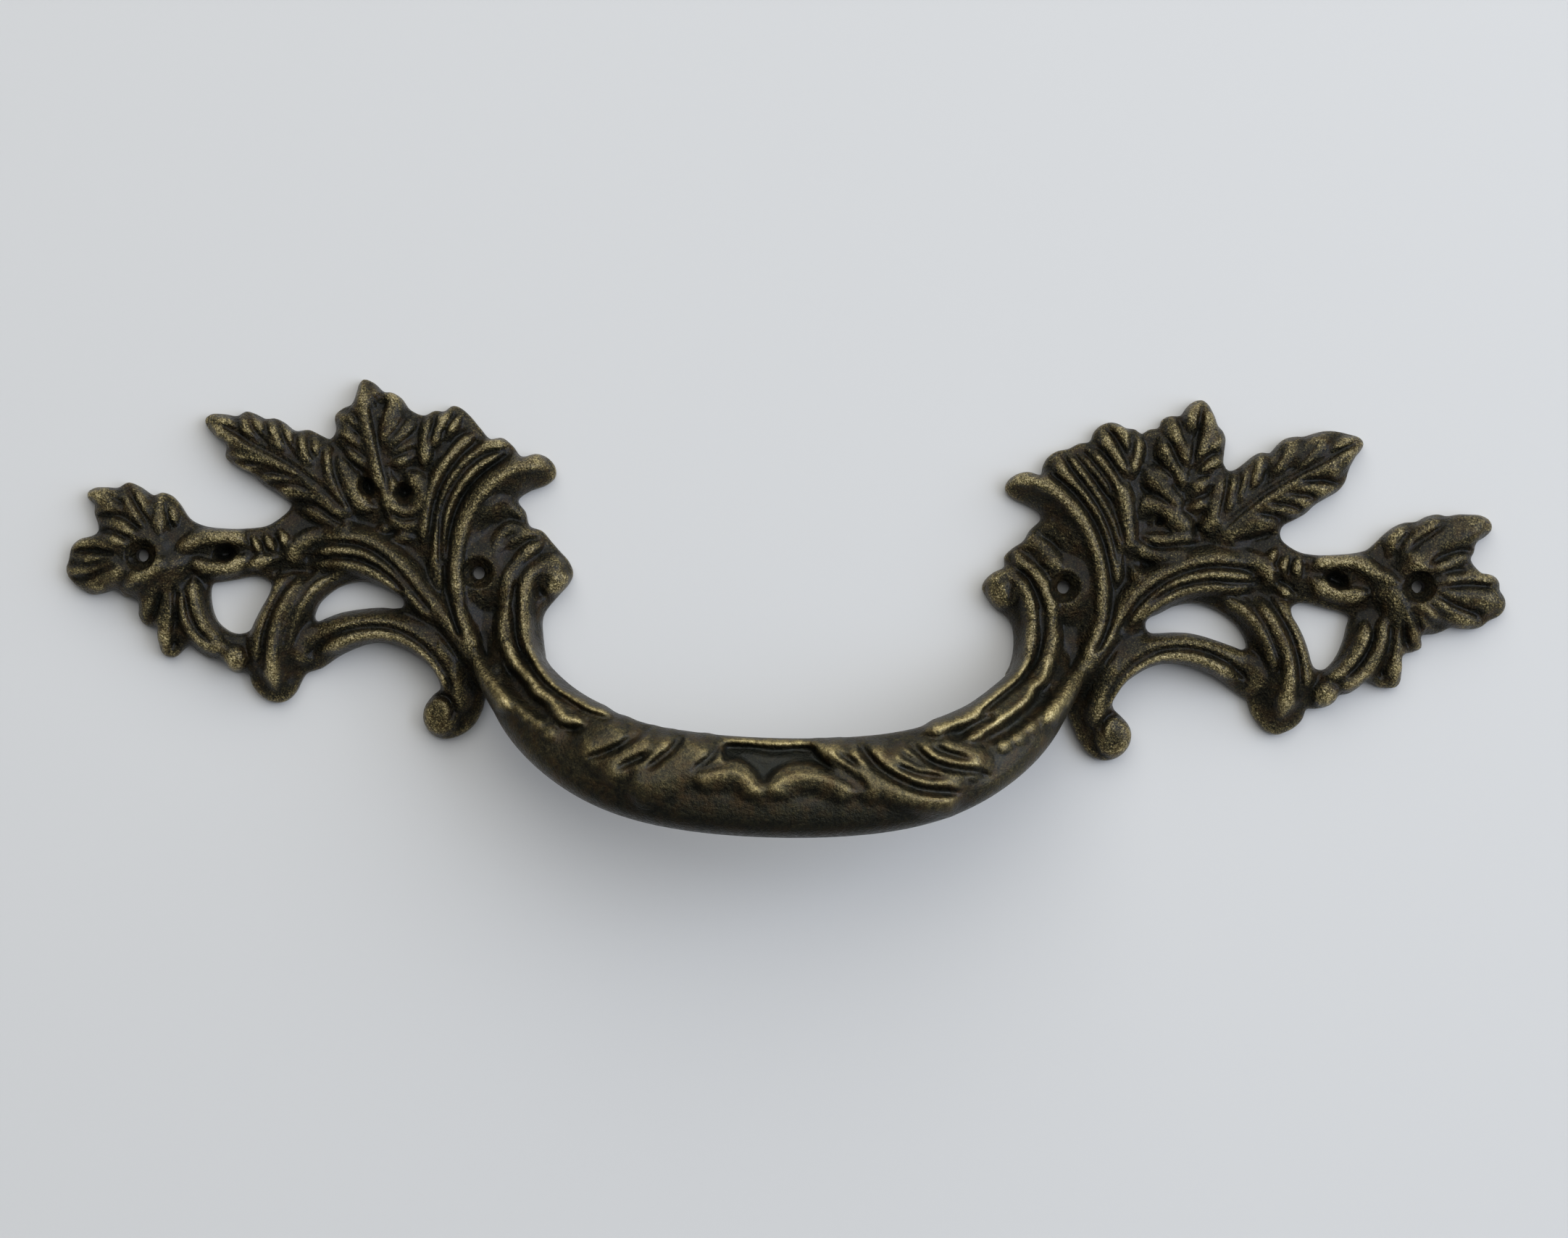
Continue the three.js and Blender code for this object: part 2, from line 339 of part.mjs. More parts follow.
const rightStrap = [
  [0.9, [57.2, -0.8], [59.6, -1.9], [61.5, -3.6], [62.9, -5.6], [63.8, -7.8], [64.2, -10.2]],
  [1, [61.9, -0.9], [63.2, -2.7], [64.6, -4.9], [65.7, -7.2], [66.3, -9.6], [66.4, -12], [65.9, -14.2],
    [65.2, -16]],
  [0.8, [64.1, -0.7], [65.7, -2.6], [67, -4.8], [67.9, -7.2], [68.5, -9.6], [68.8, -12.6]],
];
const rightLowerScroll = [
  [1.1, [60.7, -12.8], [61.9, -12], [61.9, -10.4], [60.6, -9], [58.6, -7.9], [56.2, -7], [53.6, -6.6],
    [51, -6.6], [48.6, -7], [46.4, -7.9], [44.4, -9.5], [42.8, -11.5], [41.7, -13.7], [41.2, -16],
    [41.5, -18.4]],
  [0.9, [59, -11.2], [57, -9.9], [54.6, -8.9], [51.8, -8.4], [49, -8.6], [46.6, -9.7], [44.5, -11.6],
    [43.1, -13.8], [42.6, -15.6]],
];
const rightGround = [
  [3.4, [72.4, 18.2], [67, 15.2], [61, 11.6], [55, 7.2]],
  [4, [54.2, 21.6], [53, 15.6], [50.4, 7.6]],
  [3, [89, 0.4], [80, 1.4], [71, 2.4], [63, 4]],
];
const rightMass = [
  [3.4, [60, 2], [56.8, 2.4], [53, 2], [50, 0.8], [47.2, -1.4], [44.4, -4.8], [41.8, -8.8], [38.8, -13]],
  [2.7, [59.6, -11.2], [56, -9.4], [52, -8.3], [48.4, -8.8], [45, -10.9], [42.8, -14], [42.2, -17.4]],
  [2.9, [60.6, -2.6], [63.4, -4.8], [65.4, -8.2], [66, -12], [65.4, -15.4]],
  [2.6, [29.6, 0], [32.6, -1.8], [34, -5], [33.9, -8.6], [32.8, -11]],
];
const rightBalls = [
  [71.1, -13.1, 1.9],
  [43.9, -19.3, 2.8],
  [65, -15.8, 2.7],
  [28.7, -1, 2.2],
  [30.6, 13, 1.7],
];

// Grip and legs: crest lines of their folds and ridges as seen from the front
const gripFolds = [
  [1.6, [-19.8, -19.4], [-22.5, -21.1], [-26, -22.8]],
  [1.2, [-16.4, -20.6], [-19.2, -23.4], [-23.2, -25.3]],
  [1, [-13.9, -20.8], [-16.2, -23.4], [-19.4, -25.9]],
  [1.4, [-9.4, -21.4], [-12.4, -23.9], [-17, -26.6]],
  [1, [-11, -25.8], [-7, -24.7], [-4.4, -24.9], [-2.9, -26.1], [-1.7, -28.2]],
  [1, [-1.4, -28], [-0.4, -26.5], [1.8, -25], [5, -24.8], [11, -27]],
  [1.1, [5.4, -21.4], [8.4, -23.5], [12.6, -26], [15, -27]],
  [0.9, [12, -25], [15.6, -26.8], [20, -27.8], [24, -27.4]],
  [1, [11.8, -21.2], [14.4, -23.8], [19, -25.7], [24.5, -25.8]],
  [0.8, [15, -21.2], [18.6, -23.6], [24, -24.7]],
  [0.9, [18.2, -20.8], [21.4, -22.6], [27, -23.5]]];
const leftLegRidges = [
  [0.95, [-33.1, -8], [-31.5, -12], [-29.2, -14.9], [-26, -16.7], [-21.2, -18.6]],
  [0.85, [-35.3, -9.3], [-33.8, -12], [-31.4, -15], [-29.4, -16.4], [-27.8, -18.3], [-24.6, -19.5]]];
const rightLegRidges = [
  [0.95, [32.6, -8.2], [31, -12], [28.8, -14], [25.2, -16.8], [21, -18.6]],
  [0.85, [35, -9.2], [33.9, -12.1], [31.8, -15], [28.5, -17.7], [24, -20.3]]];
const legBeads = [
  [-36, -13.9], [-34.5, -16.4], [-32.3, -18.3], [-29.7, -20.4],
  [36, -14.6], [34.3, -16.4], [32.8, -18], [31.3, -19.5], [29.4, -20.6]];
const beadRadius = 0.75;

const mergeDistance = 1e-4;

function solidFrom(geometry) {
  geometry.deleteAttribute('normal');
  geometry.deleteAttribute('uv');
  const merged = mergeVertices(geometry, mergeDistance);
  const vertProperties = Float32Array.from(merged.attributes.position.array);
  const triVerts = Uint32Array.from(merged.index.array);
  return new wasm.Manifold(new wasm.Mesh({ numProp: 3, vertProperties, triVerts }));
}

function joined(solids) {
  return solids.reduce((whole, next) => whole.add(next));
}

// A closed skin over rings of points that all run the same way round
function loft(rings) {
  const sides = rings[0].length;
  const points = rings.flat();
  const index = [];
  for (let i = 0; i + 1 < rings.length; i += 1) {
    for (let j = 0; j < sides; j += 1) {
      const a = i * sides + j;
      const b = i * sides + (j + 1) % sides;
      index.push(a, b, b + sides, a, b + sides, a + sides);
    }
  }
  const last = (rings.length - 1) * sides;
  for (let j = 1; j + 1 < sides; j += 1) {
    index.push(0, j + 1, j);
    index.push(last, last + j, last + j + 1);
  }
  const geometry = new THREE.BufferGeometry().setFromPoints(points);
  geometry.setIndex(index);
  return solidFrom(geometry);
}

// A stroke swells from a small share of its section at each end to the whole of it
function swellAt(u, length) {
  const fromEnd = Math.min(u, 1 - u) * length;
  const part = Math.sin(Math.min(1, fromEnd / endTaper) * Math.PI / 2);
  return endShare + (1 - endShare) * part;
}

const fewestRings = 3;

function ringCount(length) {
  return Math.max(fewestRings, Math.ceil(length / ringSpacing) + 1);
}

// Sections of a stroke: share of the half width, share of the rise above the plate
const veinSection = [[0, 1]];
const ridgeSection = [[0.5, 0.95], [-0.5, 0.95]];
const moundSection = [[0.6, 0.85], [-0.6, 0.85]];
const strokeRoot = 0.8;

function stroke(place, crest, section, [halfWidth, ...points]) {
  const line = points.map(([x, y]) => new THREE.Vector3(place(x), y, 0));
  const curve = new THREE.CatmullRomCurve3(line, false, 'centripetal');
  const length = curve.getLength();
  const count = ringCount(length);
  const rings = [];
  for (let i = 0; i < count; i += 1) {
    const u = i / (count - 1);
    const centre = curve.getPointAt(u);
    const along = curve.getTangentAt(u);
    const swell = swellAt(u, length);
    const at = (across, height) => new THREE.Vector3(
      centre.x - along.y * across * halfWidth * swell,
      centre.y + along.x * across * halfWidth * swell,
      height);
    const dome = section.map(([across, rise]) =>
      at(across, plateThickness + (crest - plateThickness) * swell * rise));
    rings.push([at(1, strokeRoot), ...dome, at(-1, strokeRoot)]);
  }
  return loft(rings);
}

function outlineShape(place, outline) {
  return new THREE.Shape(outline.map(([x, y]) => new THREE.Vector2(place(x), y)));
}

function prism(shape, bottom, top) {
  const geometry = new THREE.ExtrudeGeometry(shape, { depth: top - bottom, bevelEnabled: false });
  geometry.translate(0, 0, bottom);
  return solidFrom(geometry);
}

function drum(x, y, diameter, bottom, top) {
  const geometry = new THREE.CylinderGeometry(diameter / 2, diameter / 2, top - bottom, holeSides);
  geometry.rotateX(Math.PI / 2);
  geometry.translate(x, y, (top + bottom) / 2);
  return solidFrom(geometry);
}

// Countersunk screw hole: the counterbore starts from the ground of the carving round it
const cutClearance = 1;
const tallestCut = 40;

function screwHole(x, y, ground) {
  const bore = drum(x, y, boreDiameter, -cutClearance, tallestCut);
  const seat = drum(x, y, counterboreDiameter, ground - counterboreDepth, tallestCut);
  return bore.add(seat);
}

function wing(place, drawing) {
  const shape = outlineShape(place, drawing.outline);
  const strokes = [];
  for (const [crest, section, list] of drawing.relief) {
    strokes.push(...list.map((item) => stroke(place, crest, section, item)));
  }
  strokes.push(...drawing.balls.map((item) => ball(place, item)));
  const plate = prism(shape, 0, plateThickness);
  const relief = joined([plate, ...strokes]);
  const windows = joined(drawing.windows.map((outline) =>
    prism(outlineShape(place, outline), -cutClearance, tallestCut)));
  return relief.intersect(prism(shape, -cutClearance, tallestCut)).subtract(windows);
}

function wingPlacer(drawnInner, drawnReach, reach, side) {
  const inner = drawnInner + side * (screwSpacing - drawnSpacing) / 2;
  return (x) => inner + (x - drawnInner) * reach / drawnReach;
}

// Bow of the grip, by an angle in radians from the left root. Past each root it runs on straight.
const rootX = screwSpacing / 2 - rootInset;
const flatPower = 6;

function bowCentre(angle) {
  const turned = THREE.MathUtils.clamp(angle, 0, Math.PI);
  const swing = Math.sin(turned);
  const turn = swing - Math.abs(angle - turned);
  const reach = rootX * (1 + gripFlatness * swing ** flatPower)
    + rootSpread * Math.exp(-((swing / rootSpreadShare) ** 2));
  return new THREE.Vector3(
    -reach * Math.cos(turned), rootY - gripDrop * turn, rootHeight + gripRise * turn);
}

// Centre, directions, half width and fullness of the bow's section
const angleStep = 0.001;
const runTaper = 0.8;

function bow(angle) {
  const turned = THREE.MathUtils.clamp(angle, 0, Math.PI);
  const centre = bowCentre(angle);
  const along = bowCentre(angle + angleStep).sub(bowCentre(angle - angleStep)).normalize();
  const lean = THREE.MathUtils.degToRad(gripLean);
  const face = new THREE.Vector3(0, Math.sin(lean), Math.cos(lean));
  face.addScaledVector(along, -face.dot(along)).normalize();
  const across = new THREE.Vector3().crossVectors(face, along);
  const width = legHalfWidth + (gripHalfWidth - legHalfWidth) * Math.sin(turned) ** legWidening;
  const halfWidth = width * (1 - runTaper * Math.abs(angle - turned));
  const fromRoot = THREE.MathUtils.radToDeg(Math.min(turned, Math.PI - turned));
  const filled = THREE.MathUtils.smoothstep(fromRoot, 0, legDegrees);
  const fullness = rootFullness + (1 - rootFullness) * filled;
  return { centre, along, face, across, halfWidth, fullness };
}

// The bar's section is a squared oval, with a fuller face than back
const ovalSide = 0.75;
const ovalFace = 0.85;
const edgeShare = 0.97;

function signedPower(value, power) {
  return Math.sign(value) * Math.abs(value) ** power;
}

function bar() {
  const rings = [];
  for (let i = 0; i < gripRings; i += 1) {
    const angle = -rootRun + (Math.PI + 2 * rootRun) * i / (gripRings - 1);
    const { centre, face, across, halfWidth, fullness } = bow(angle);
    const ring = [];
    for (let j = 0; j < gripSides; j += 1) {
      const turn = 2 * Math.PI * j / gripSides;
      const bulge = (Math.sin(turn) > 0 ? gripFaceBulge : gripBackBulge) * fullness;
      ring.push(centre.clone()
        .addScaledVector(across, halfWidth * signedPower(Math.cos(turn), ovalSide))
        .addScaledVector(face, bulge * signedPower(Math.sin(turn), ovalFace)));
    }
    rings.push(ring);
  }
  return loft(rings);
}

// Angle and distance across of the place on the bow that is seen at a point from the front
const placingSteps = 30;

function seenOnBow([x, y]) {
  const place = { angle: Math.acos(THREE.MathUtils.clamp(-x / rootX, -1, 1)), across: 0 };
  for (let i = 0; i < placingSteps; i += 1) {
    const { centre, along, face, across, fullness } = bow(place.angle);
    const top = centre.clone().addScaledVector(face, gripFaceBulge * fullness);
    const nearer = 1 - (top.z - groundHeight) / viewDistance;
    const dx = viewX + (x - viewX) * nearer - top.x;
    const dy = viewY + (y - viewY) * nearer - top.y;
    const turn = along.x * across.y - along.y * across.x;
    place.across = (along.x * dy - along.y * dx) / turn;
    place.angle += (dx * across.y - dy * across.x) / turn / (2 * rootX);
  }
  return place;
}

// A point on the bar's face and the direction out of it
function facePoint({ angle, across: distance }) {
  const { centre, face, across, halfWidth, fullness } = bow(angle);
  const bulge = gripFaceBulge * fullness;
  const share = Math.min(edgeShare, Math.abs(distance) / halfWidth);
  const rise = bulge * (1 - share ** (2 / ovalSide)) ** (ovalFace / 2);
  const side = Math.sign(distance) * share * halfWidth;
  const point = centre.clone().addScaledVector(across, side).addScaledVector(face, rise);
  const out = point.clone().sub(centre).addScaledVector(face, bulge).normalize();
  return { point, out };
}

const carvingRoot = 0.9;

function gripRidge([halfWidth, ...points]) {
  const places = points.map((point) => facePoint(seenOnBow(point)));
  const line = places.map(({ point }) => point);
  const outs = new THREE.CatmullRomCurve3(places.map(({ out }) => out));
  const curve = new THREE.CatmullRomCurve3(line, false, 'centripetal');
  const length = curve.getLength();
  const count = ringCount(length);
  const rings = [];
  for (let i = 0; i < count; i += 1) {
    const u = i / (count - 1);
    const out = outs.getPointAt(u).normalize();
    const side = new THREE.Vector3().crossVectors(out, curve.getTangentAt(u)).normalize();
    const swell = swellAt(u, length);
    const at = (acrossShare, rise) => curve.getPointAt(u)
      .addScaledVector(side, acrossShare * halfWidth * swell)
      .addScaledVector(out, rise);
    const dome = veinSection.map(([share, rise]) => at(share, rise * carvingRelief * swell));
    rings.push([at(1, -carvingRoot), ...dome, at(-1, -carvingRoot)]);
  }
  return loft(rings);
}

function bead(place) {
  const { point } = facePoint(seenOnBow(place));
  const geometry = new THREE.OctahedronGeometry(beadRadius);
  geometry.translate(point.x, point.y, point.z);
  return solidFrom(geometry);
}

function grip() {
  const ridges = [...gripFolds, ...leftLegRidges, ...rightLegRidges].map(gripRidge);
  return joined([bar(), ...ridges, ...legBeads.map(bead)]);
}

// Ball of a curl, hoop or scroll end
const ballSides = 8;
const ballBands = 6;

function ball(place, [x, y, radius]) {
  const geometry = new THREE.SphereGeometry(radius, ballSides, ballBands);
  geometry.rotateX(Math.PI / 2);
  geometry.scale(1, 1, (ballHeight - strokeRoot) / radius);
  geometry.translate(place(x), y, strokeRoot);
  return solidFrom(geometry);
}

const leftPlace = wingPlacer(drawnInnerLeft, drawnLeftReach, leftReach, -1);
const rightPlace = wingPlacer(drawnInnerRight, drawnRightReach, rightReach, 1);

const leftWing = wing(leftPlace, {
  outline: leftOutline,
  windows: [leftEndWindow, leftScrollWindow],
  relief: [
    [groundHeight, moundSection, leftGround],
    [branchHeight, moundSection, leftMass],
    [leafHeight, veinSection, [...leftEndLeaf, ...leftLongLeaf, ...leftTopLeaf]],
    [branchHeight, veinSection, [...leftBranch, ...leftHoop, ...leftStrap, ...leftFan]],
    [scrollHeight, ridgeSection, [...leftScroll, ...leftLowerScroll]],
    [rimHeight, ridgeSection, leftRims]],
  balls: leftBalls });

const rightWing = wing(rightPlace, {
  outline: rightOutline,
  windows: [rightEndWindow, rightScrollWindow],
  relief: [
    [groundHeight, moundSection, rightGround],
    [branchHeight, moundSection, rightMass],
    [leafHeight, veinSection, [...rightEndLeaf, ...rightLongLeaf, ...rightTopLeaf]],
    [branchHeight, veinSection, [...rightBranch, ...rightHoop, ...rightStrap, ...rightFan]],
    [scrollHeight, ridgeSection, [...rightScroll, ...rightLowerScroll]],
    [rimHeight, ridgeSection, rightRims]],
  balls: rightBalls });

// Everything behind the flat back is cut away
function behindBack() {
  const size = 2 * (leftReach + screwSpacing + rightReach);
  const geometry = new THREE.BoxGeometry(size, size, size);
  geometry.translate(0, 0, -size / 2);
  return solidFrom(geometry);
}

const holes = joined([
  screwHole(leftPlace(drawnInnerLeft), 0, groundHeight),
  screwHole(rightPlace(drawnInnerRight), 0, groundHeight),
  screwHole(leftPlace(drawnInnerLeft) - leftReach, outerHoleLift, groundHeight),
  screwHole(rightPlace(drawnInnerRight) + rightReach, outerHoleLift, groundHeight)]);

const casting = leftWing.add(rightWing).add(grip()).subtract(behindBack()).subtract(holes);

function bronzeMesh(manifold) {
  const mesh = manifold.getMesh();
  const geometry = new THREE.BufferGeometry();
  geometry.setAttribute('position', new THREE.BufferAttribute(mesh.vertProperties, 3));
  geometry.setIndex(new THREE.BufferAttribute(mesh.triVerts, 1));
  const bronze = new THREE.MeshStandardMaterial({ color: 0x4a4129, roughness: 0.42, metalness: 0.85 });
  return new THREE.Mesh(geometry, bronze);
}

// The frame's origin is the middle of the back of the whole pull
const pull = bronzeMesh(casting);
pull.name = 'drawer_pull';
pull.geometry.computeBoundingBox();
const middle = pull.geometry.boundingBox.getCenter(new THREE.Vector3());
pull.position.set(-middle.x, -middle.y, 0);

const drawerPull = new THREE.Group();
drawerPull.add(pull);

export default drawerPull;
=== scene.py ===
"""Rococo drawer pull in antiqued bronze: one casting with two carved leaf wings and a bowed grip.

The carving is drawn in plan in millimetres: x runs right from the middle of the pull, y up from
the line of the inner screw holes, and z comes out of the drawer front from the flat back.
"""

import math

import bpy
import numpy as np
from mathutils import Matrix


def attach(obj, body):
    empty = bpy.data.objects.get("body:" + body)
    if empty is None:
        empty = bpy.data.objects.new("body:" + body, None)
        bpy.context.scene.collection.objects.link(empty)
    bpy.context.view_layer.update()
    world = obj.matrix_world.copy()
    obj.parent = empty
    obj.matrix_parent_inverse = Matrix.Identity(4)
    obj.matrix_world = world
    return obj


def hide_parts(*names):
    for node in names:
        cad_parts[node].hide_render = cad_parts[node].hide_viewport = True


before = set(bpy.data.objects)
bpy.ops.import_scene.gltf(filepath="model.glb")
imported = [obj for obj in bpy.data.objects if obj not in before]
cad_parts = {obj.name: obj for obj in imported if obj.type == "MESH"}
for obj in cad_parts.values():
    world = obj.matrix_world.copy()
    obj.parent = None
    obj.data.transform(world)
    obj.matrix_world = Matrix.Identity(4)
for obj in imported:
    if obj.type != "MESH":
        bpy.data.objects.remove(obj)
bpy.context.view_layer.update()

MM_PER_METRE = 1000
TINY = 1e-6

# Middle of the pull's box in the drawing, where the part's own origin is, in millimetres
DRAWN_MIDDLE = (0.65, -3.7177)

FINE_CELL = 0.25
GRID_LOW = (-95.5, -34.5, -0.75)
GRID_HIGH = (96.5, 27.0, 26.5)
GRIP_LOW = (-44.0, -34.5, -0.75)
GRIP_HIGH = (44.0, -1.0, 26.5)
MOST_TRIANGLES = 190000

# Heights above the back, in millimetres: the plate, the ground and the masses on it, and more
# than any carving of a wing reaches
PLATE = 2.1
GROUND = 3.0
MASS = 4.2
TALLEST_WING = 7.4
FLANK_SHARE = 0.5

# How much wider than drawn the ground and the masses spread, and how far they melt into each
# other, in millimetres
GROUND_SPREAD = 1.25
MASS_SPREAD = 1.15
GROUND_BLUR = 0.45

# Distance from an outline is worked out as far as this, along an outline sampled this finely
EDGE_REACH = 2.6
OUTLINE_STEP = 0.3

# Radii of the roundings, in millimetres: the wings' rims, the holes' rims and the back's edge
RIM_ROUND = 0.95
HOLE_ROUND = 0.3
BACK_ROUND = 0.3

# Fillet between grip and wing, in millimetres: its least, and how much more it has on the wing
FILLET = 0.5
WIDER_FILLET = 2.0

# Screw holes: places in the drawing, the bore's radius, the seat's radius, floor and slope, and
# the mound round each hole with the radii of its top and its foot
SCREW_HOLES = [(-39.3, 0.0), (36.7, 0.0), (-83.0, 1.2), (82.7, 1.2)]
BORE = 0.82
COUNTERBORE = 1.95
COUNTERBORE_FLOOR = 2.9
COUNTERBORE_SLOPE = 0.9
HOLE_MOUND = 2.2
MOUND_TOP = 2.2
MOUND_FOOT = 7.0

# Grip: half a squared ellipse, dropping down the drawer front and rising away from it
ROOT_X = 33.3
ROOT_Y = -11.5
ROOT_Z = 4.2
DROP = 14.7
RISE = 15.4
FLATNESS = 0.28
LEAN = math.radians(15)
ROOT_FLARE = 0.6
FLARE_REACH = 0.25
GRIP_HALF_WIDTH = 6.3
LEG_HALF_WIDTH = 3.8
WIDTH_POWER = 0.7
FACE_BULGE = 3.7
BACK_BULGE = 3.1
ROOT_BULGE = 0.66
ROOT_NARROWING = 0.8
END_SLOPE = 0.5

# Search for the nearest place on the bow: its steps, the share of the way that each step goes,
# how far past a root it may run in radians, and how near the bow a point is worth a search
BOW_STEPS = 10
STEP_SHARE = 0.8
OVERRUN = 0.6
BOW_SEARCH = 14

# Powers of the grip's section across and out of its face, how much squarer it is at the roots,
# and the angles in degrees at which the bulge is full and the squareness gone
SIDE_POWER = 2.67
FACE_POWER = 2.35
ROOT_SQUARENESS = 1.8
BULGE_FULL = 35
SQUARENESS_GONE = 40

# The camera looks straight down from here: place in the drawing and distance from the plane
# on which the drawing was made, then how wide it sees there and how far it is turned
VIEW_AXIS = (0.5, -5.0)
VIEW_DISTANCE = 500.0
VIEW_PLANE = 3.0
VIEW_WIDTH = 203.46
VIEW_ROLL = math.radians(1.4)
SENSOR_WIDTH = 36.0

FLOOR_HALF = 2.0

# A line of carving is [half width, point, point ...]; a hollow is [half width, depth, point ...];
# a ball is [x, y, radius]. All are in millimetres in the drawing.

# Left wing
left_outline = [
    [-64, 8.3], [-64.3, 7.6], [-65.2, 6.7], [-67, 5.5], [-70, 5.05], [-72.5, 5], [-75.5, 5.35],
    [-77.2, 6.2], [-78.5, 8], [-79.6, 9.1], [-80.9, 9.5], [-81.9, 9.1], [-83.8, 10.2], [-85.3, 10.7],
    [-86.6, 10], [-88, 10], [-89.6, 9.9], [-90.5, 9.3], [-90.5, 8.5], [-89.6, 7.7], [-89.6, 6.6],
    [-89.1, 5.2], [-89, 4.4], [-89.6, 3.7], [-91.6, 3.05], [-92.5, 2], [-92.8, 0.4], [-93.1, -0.8],
    [-92.7, -1.9], [-91.4, -3.1], [-89.7, -4], [-88.2, -3.8], [-86.5, -3.3], [-85.4, -4.2], [-84.2, -4.4],
    [-83.6, -4.8], [-83.5, -6.6], [-82.8, -7.7], [-81.8, -8], [-81, -8], [-80.9, -9.6], [-80.4, -11.3],
    [-79.6, -11.9], [-78.7, -11.9], [-76.7, -10.3], [-75.5, -11.2], [-74.2, -11.9], [-72, -12.3],
    [-71.5, -13.1], [-70.8, -13.7], [-69.1, -13.75], [-68.5, -15.3], [-67.5, -16.5], [-66.2, -17.3],
    [-65, -17.5], [-63.8, -17.1], [-62.7, -15.9], [-62.1, -14.6], [-61.45, -13.6], [-59.6, -12.9],
    [-57.4, -11.35], [-55.4, -10.3], [-53.5, -9.6], [-51.7, -9.4], [-50, -9.7], [-48.4, -10.2],
    [-46.8, -11.2], [-45.4, -12.2], [-44.3, -13.6], [-43.9, -15.1], [-44.9, -16], [-45.9, -17.4],
    [-46.1, -19.2], [-45.3, -20.8], [-44, -21.6], [-42.5, -21.6], [-40.8, -20.9], [-39.4, -19.6],
    [-38.5, -17.8], [-37.9, -15.8], [-35.2, -13.6], [-31.5, -12.2], [-30.4, -11], [-31, -9.3],
    [-31.25, -7.6], [-31, -6], [-30.5, -4.7], [-28.9, -2.65], [-27.6, -1.1], [-27.1, 0.2], [-27.7, 1.8],
    [-28.9, 3.1], [-30, 4.3], [-31.3, 5.7], [-32.9, 6.3], [-33.5, 8.1], [-34.5, 9.55], [-33, 10.8],
    [-30.8, 11.7], [-29.7, 12.8], [-29.8, 14.1], [-30.9, 15.3], [-32.2, 15.7], [-34.15, 15.3],
    [-35.4, 16.7], [-36.8, 17.7], [-38.3, 17.5], [-39.6, 18.8], [-41, 20.4], [-42.2, 21.4],
    [-43.25, 21.7], [-44.45, 20.95], [-45.6, 21], [-47, 20.35], [-48.9, 21.1], [-50, 22.5], [-51.2, 23.2],
    [-52.3, 23.3], [-53.6, 24.4], [-55, 24.85], [-55.6, 24.1], [-55.9, 23], [-56.4, 21.6], [-57.6, 21],
    [-58.6, 20], [-58.4, 18.1], [-59.1, 17], [-60.4, 17.45], [-61.9, 18.1], [-63.7, 17.95], [-65.2, 19],
    [-66.4, 19.5], [-67.6, 19.4], [-68.9, 20], [-70.2, 20.3], [-71.3, 19.7], [-73, 19.9], [-74.8, 19.8],
    [-75.5, 19.1], [-75.2, 18.2], [-74, 16.9], [-72.6, 15.9], [-72.7, 14.3], [-71.3, 13.1], [-69.1, 12.1],
    [-68, 11], [-66, 9.8], [-64.6, 8.85]]
left_end_window = [
    [-74.2, -3], [-73.9, -2.2], [-72.9, -2], [-70.8, -1.6], [-68.8, -1.2], [-67.4, -1.3], [-66.4, -2],
    [-66.5, -3.4], [-67.5, -5.25], [-68.4, -6.95], [-69, -8.2], [-69.9, -8.6], [-71, -8.6], [-72.25, -8],
    [-73.3, -7], [-74, -5.2]]
left_scroll_window = [
    [-60.6, -6.4], [-60.1, -4.65], [-59, -3.4], [-57.5, -2.3], [-56, -1.75], [-54.5, -1.55],
    [-52.8, -1.8], [-51.2, -2.25], [-50, -2.9], [-49, -3.7], [-49, -4.6], [-50, -4.85], [-52, -4.8],
    [-54.5, -5.05], [-57.2, -5.6], [-59, -6.3], [-60.2, -6.8]]
left_end_leaf = [
    [0.75, [-80.9, 9], [-80.8, 7], [-80.6, 4.3]], [0.45, [-79.7, 8], [-79.2, 6.6], [-78.7, 5.3]],
    [0.7, [-86, 9.6], [-85, 8.2], [-84.2, 6.9], [-82.9, 5.2]],
    [0.6, [-84.5, 10], [-83.3, 8.2], [-81.9, 6]], [0.95, [-89.9, 9], [-87.5, 8.4], [-85.4, 7.4]],
    [0.7, [-89.2, 7], [-87, 7.3], [-85, 6.4]], [0.8, [-88.4, 5.6], [-86, 5.2], [-84, 4]],
    [0.6, [-88.5, 3.7], [-86.8, 3.2], [-85.2, 2.6]],
    [0.7, [-92, 2.2], [-90, 2.7], [-88, 2.4], [-86.3, 1.9]],
    [0.85, [-91.6, 0.9], [-89.5, 0.4], [-86.8, 0.8]],
    [0.85, [-92.3, -1], [-90.3, -0.7], [-88, -0.1], [-86.3, 0.4]],
    [0.95, [-90.5, -2.9], [-88.5, -2.1], [-86.6, -1.2], [-84.9, -0.8]],
    [0.85, [-85.2, -3.5], [-83.9, -2.5], [-82.4, -1.5], [-80.5, -0.3], [-79, 0.8]],
    [0.85, [-82.6, -6.9], [-82, -5], [-81.1, -3.4], [-80, -1.7]],
    [0.95, [-79.7, -10.7], [-79.9, -8], [-79.8, -5], [-79.3, -2], [-78.3, 0], [-77, 1.6]]]
left_hoop = [
    [0.85, [-78.3, -2.8], [-77.8, -4.8], [-76.9, -6.9], [-75.8, -8.6], [-74.5, -9.8], [-72.8, -10.4],
     [-71, -10.5]],
    [0.8, [-76.2, -1.4], [-76.2, -3.5], [-75.8, -5.5], [-75, -7.3], [-73.8, -8.9], [-72.2, -9.7]]]
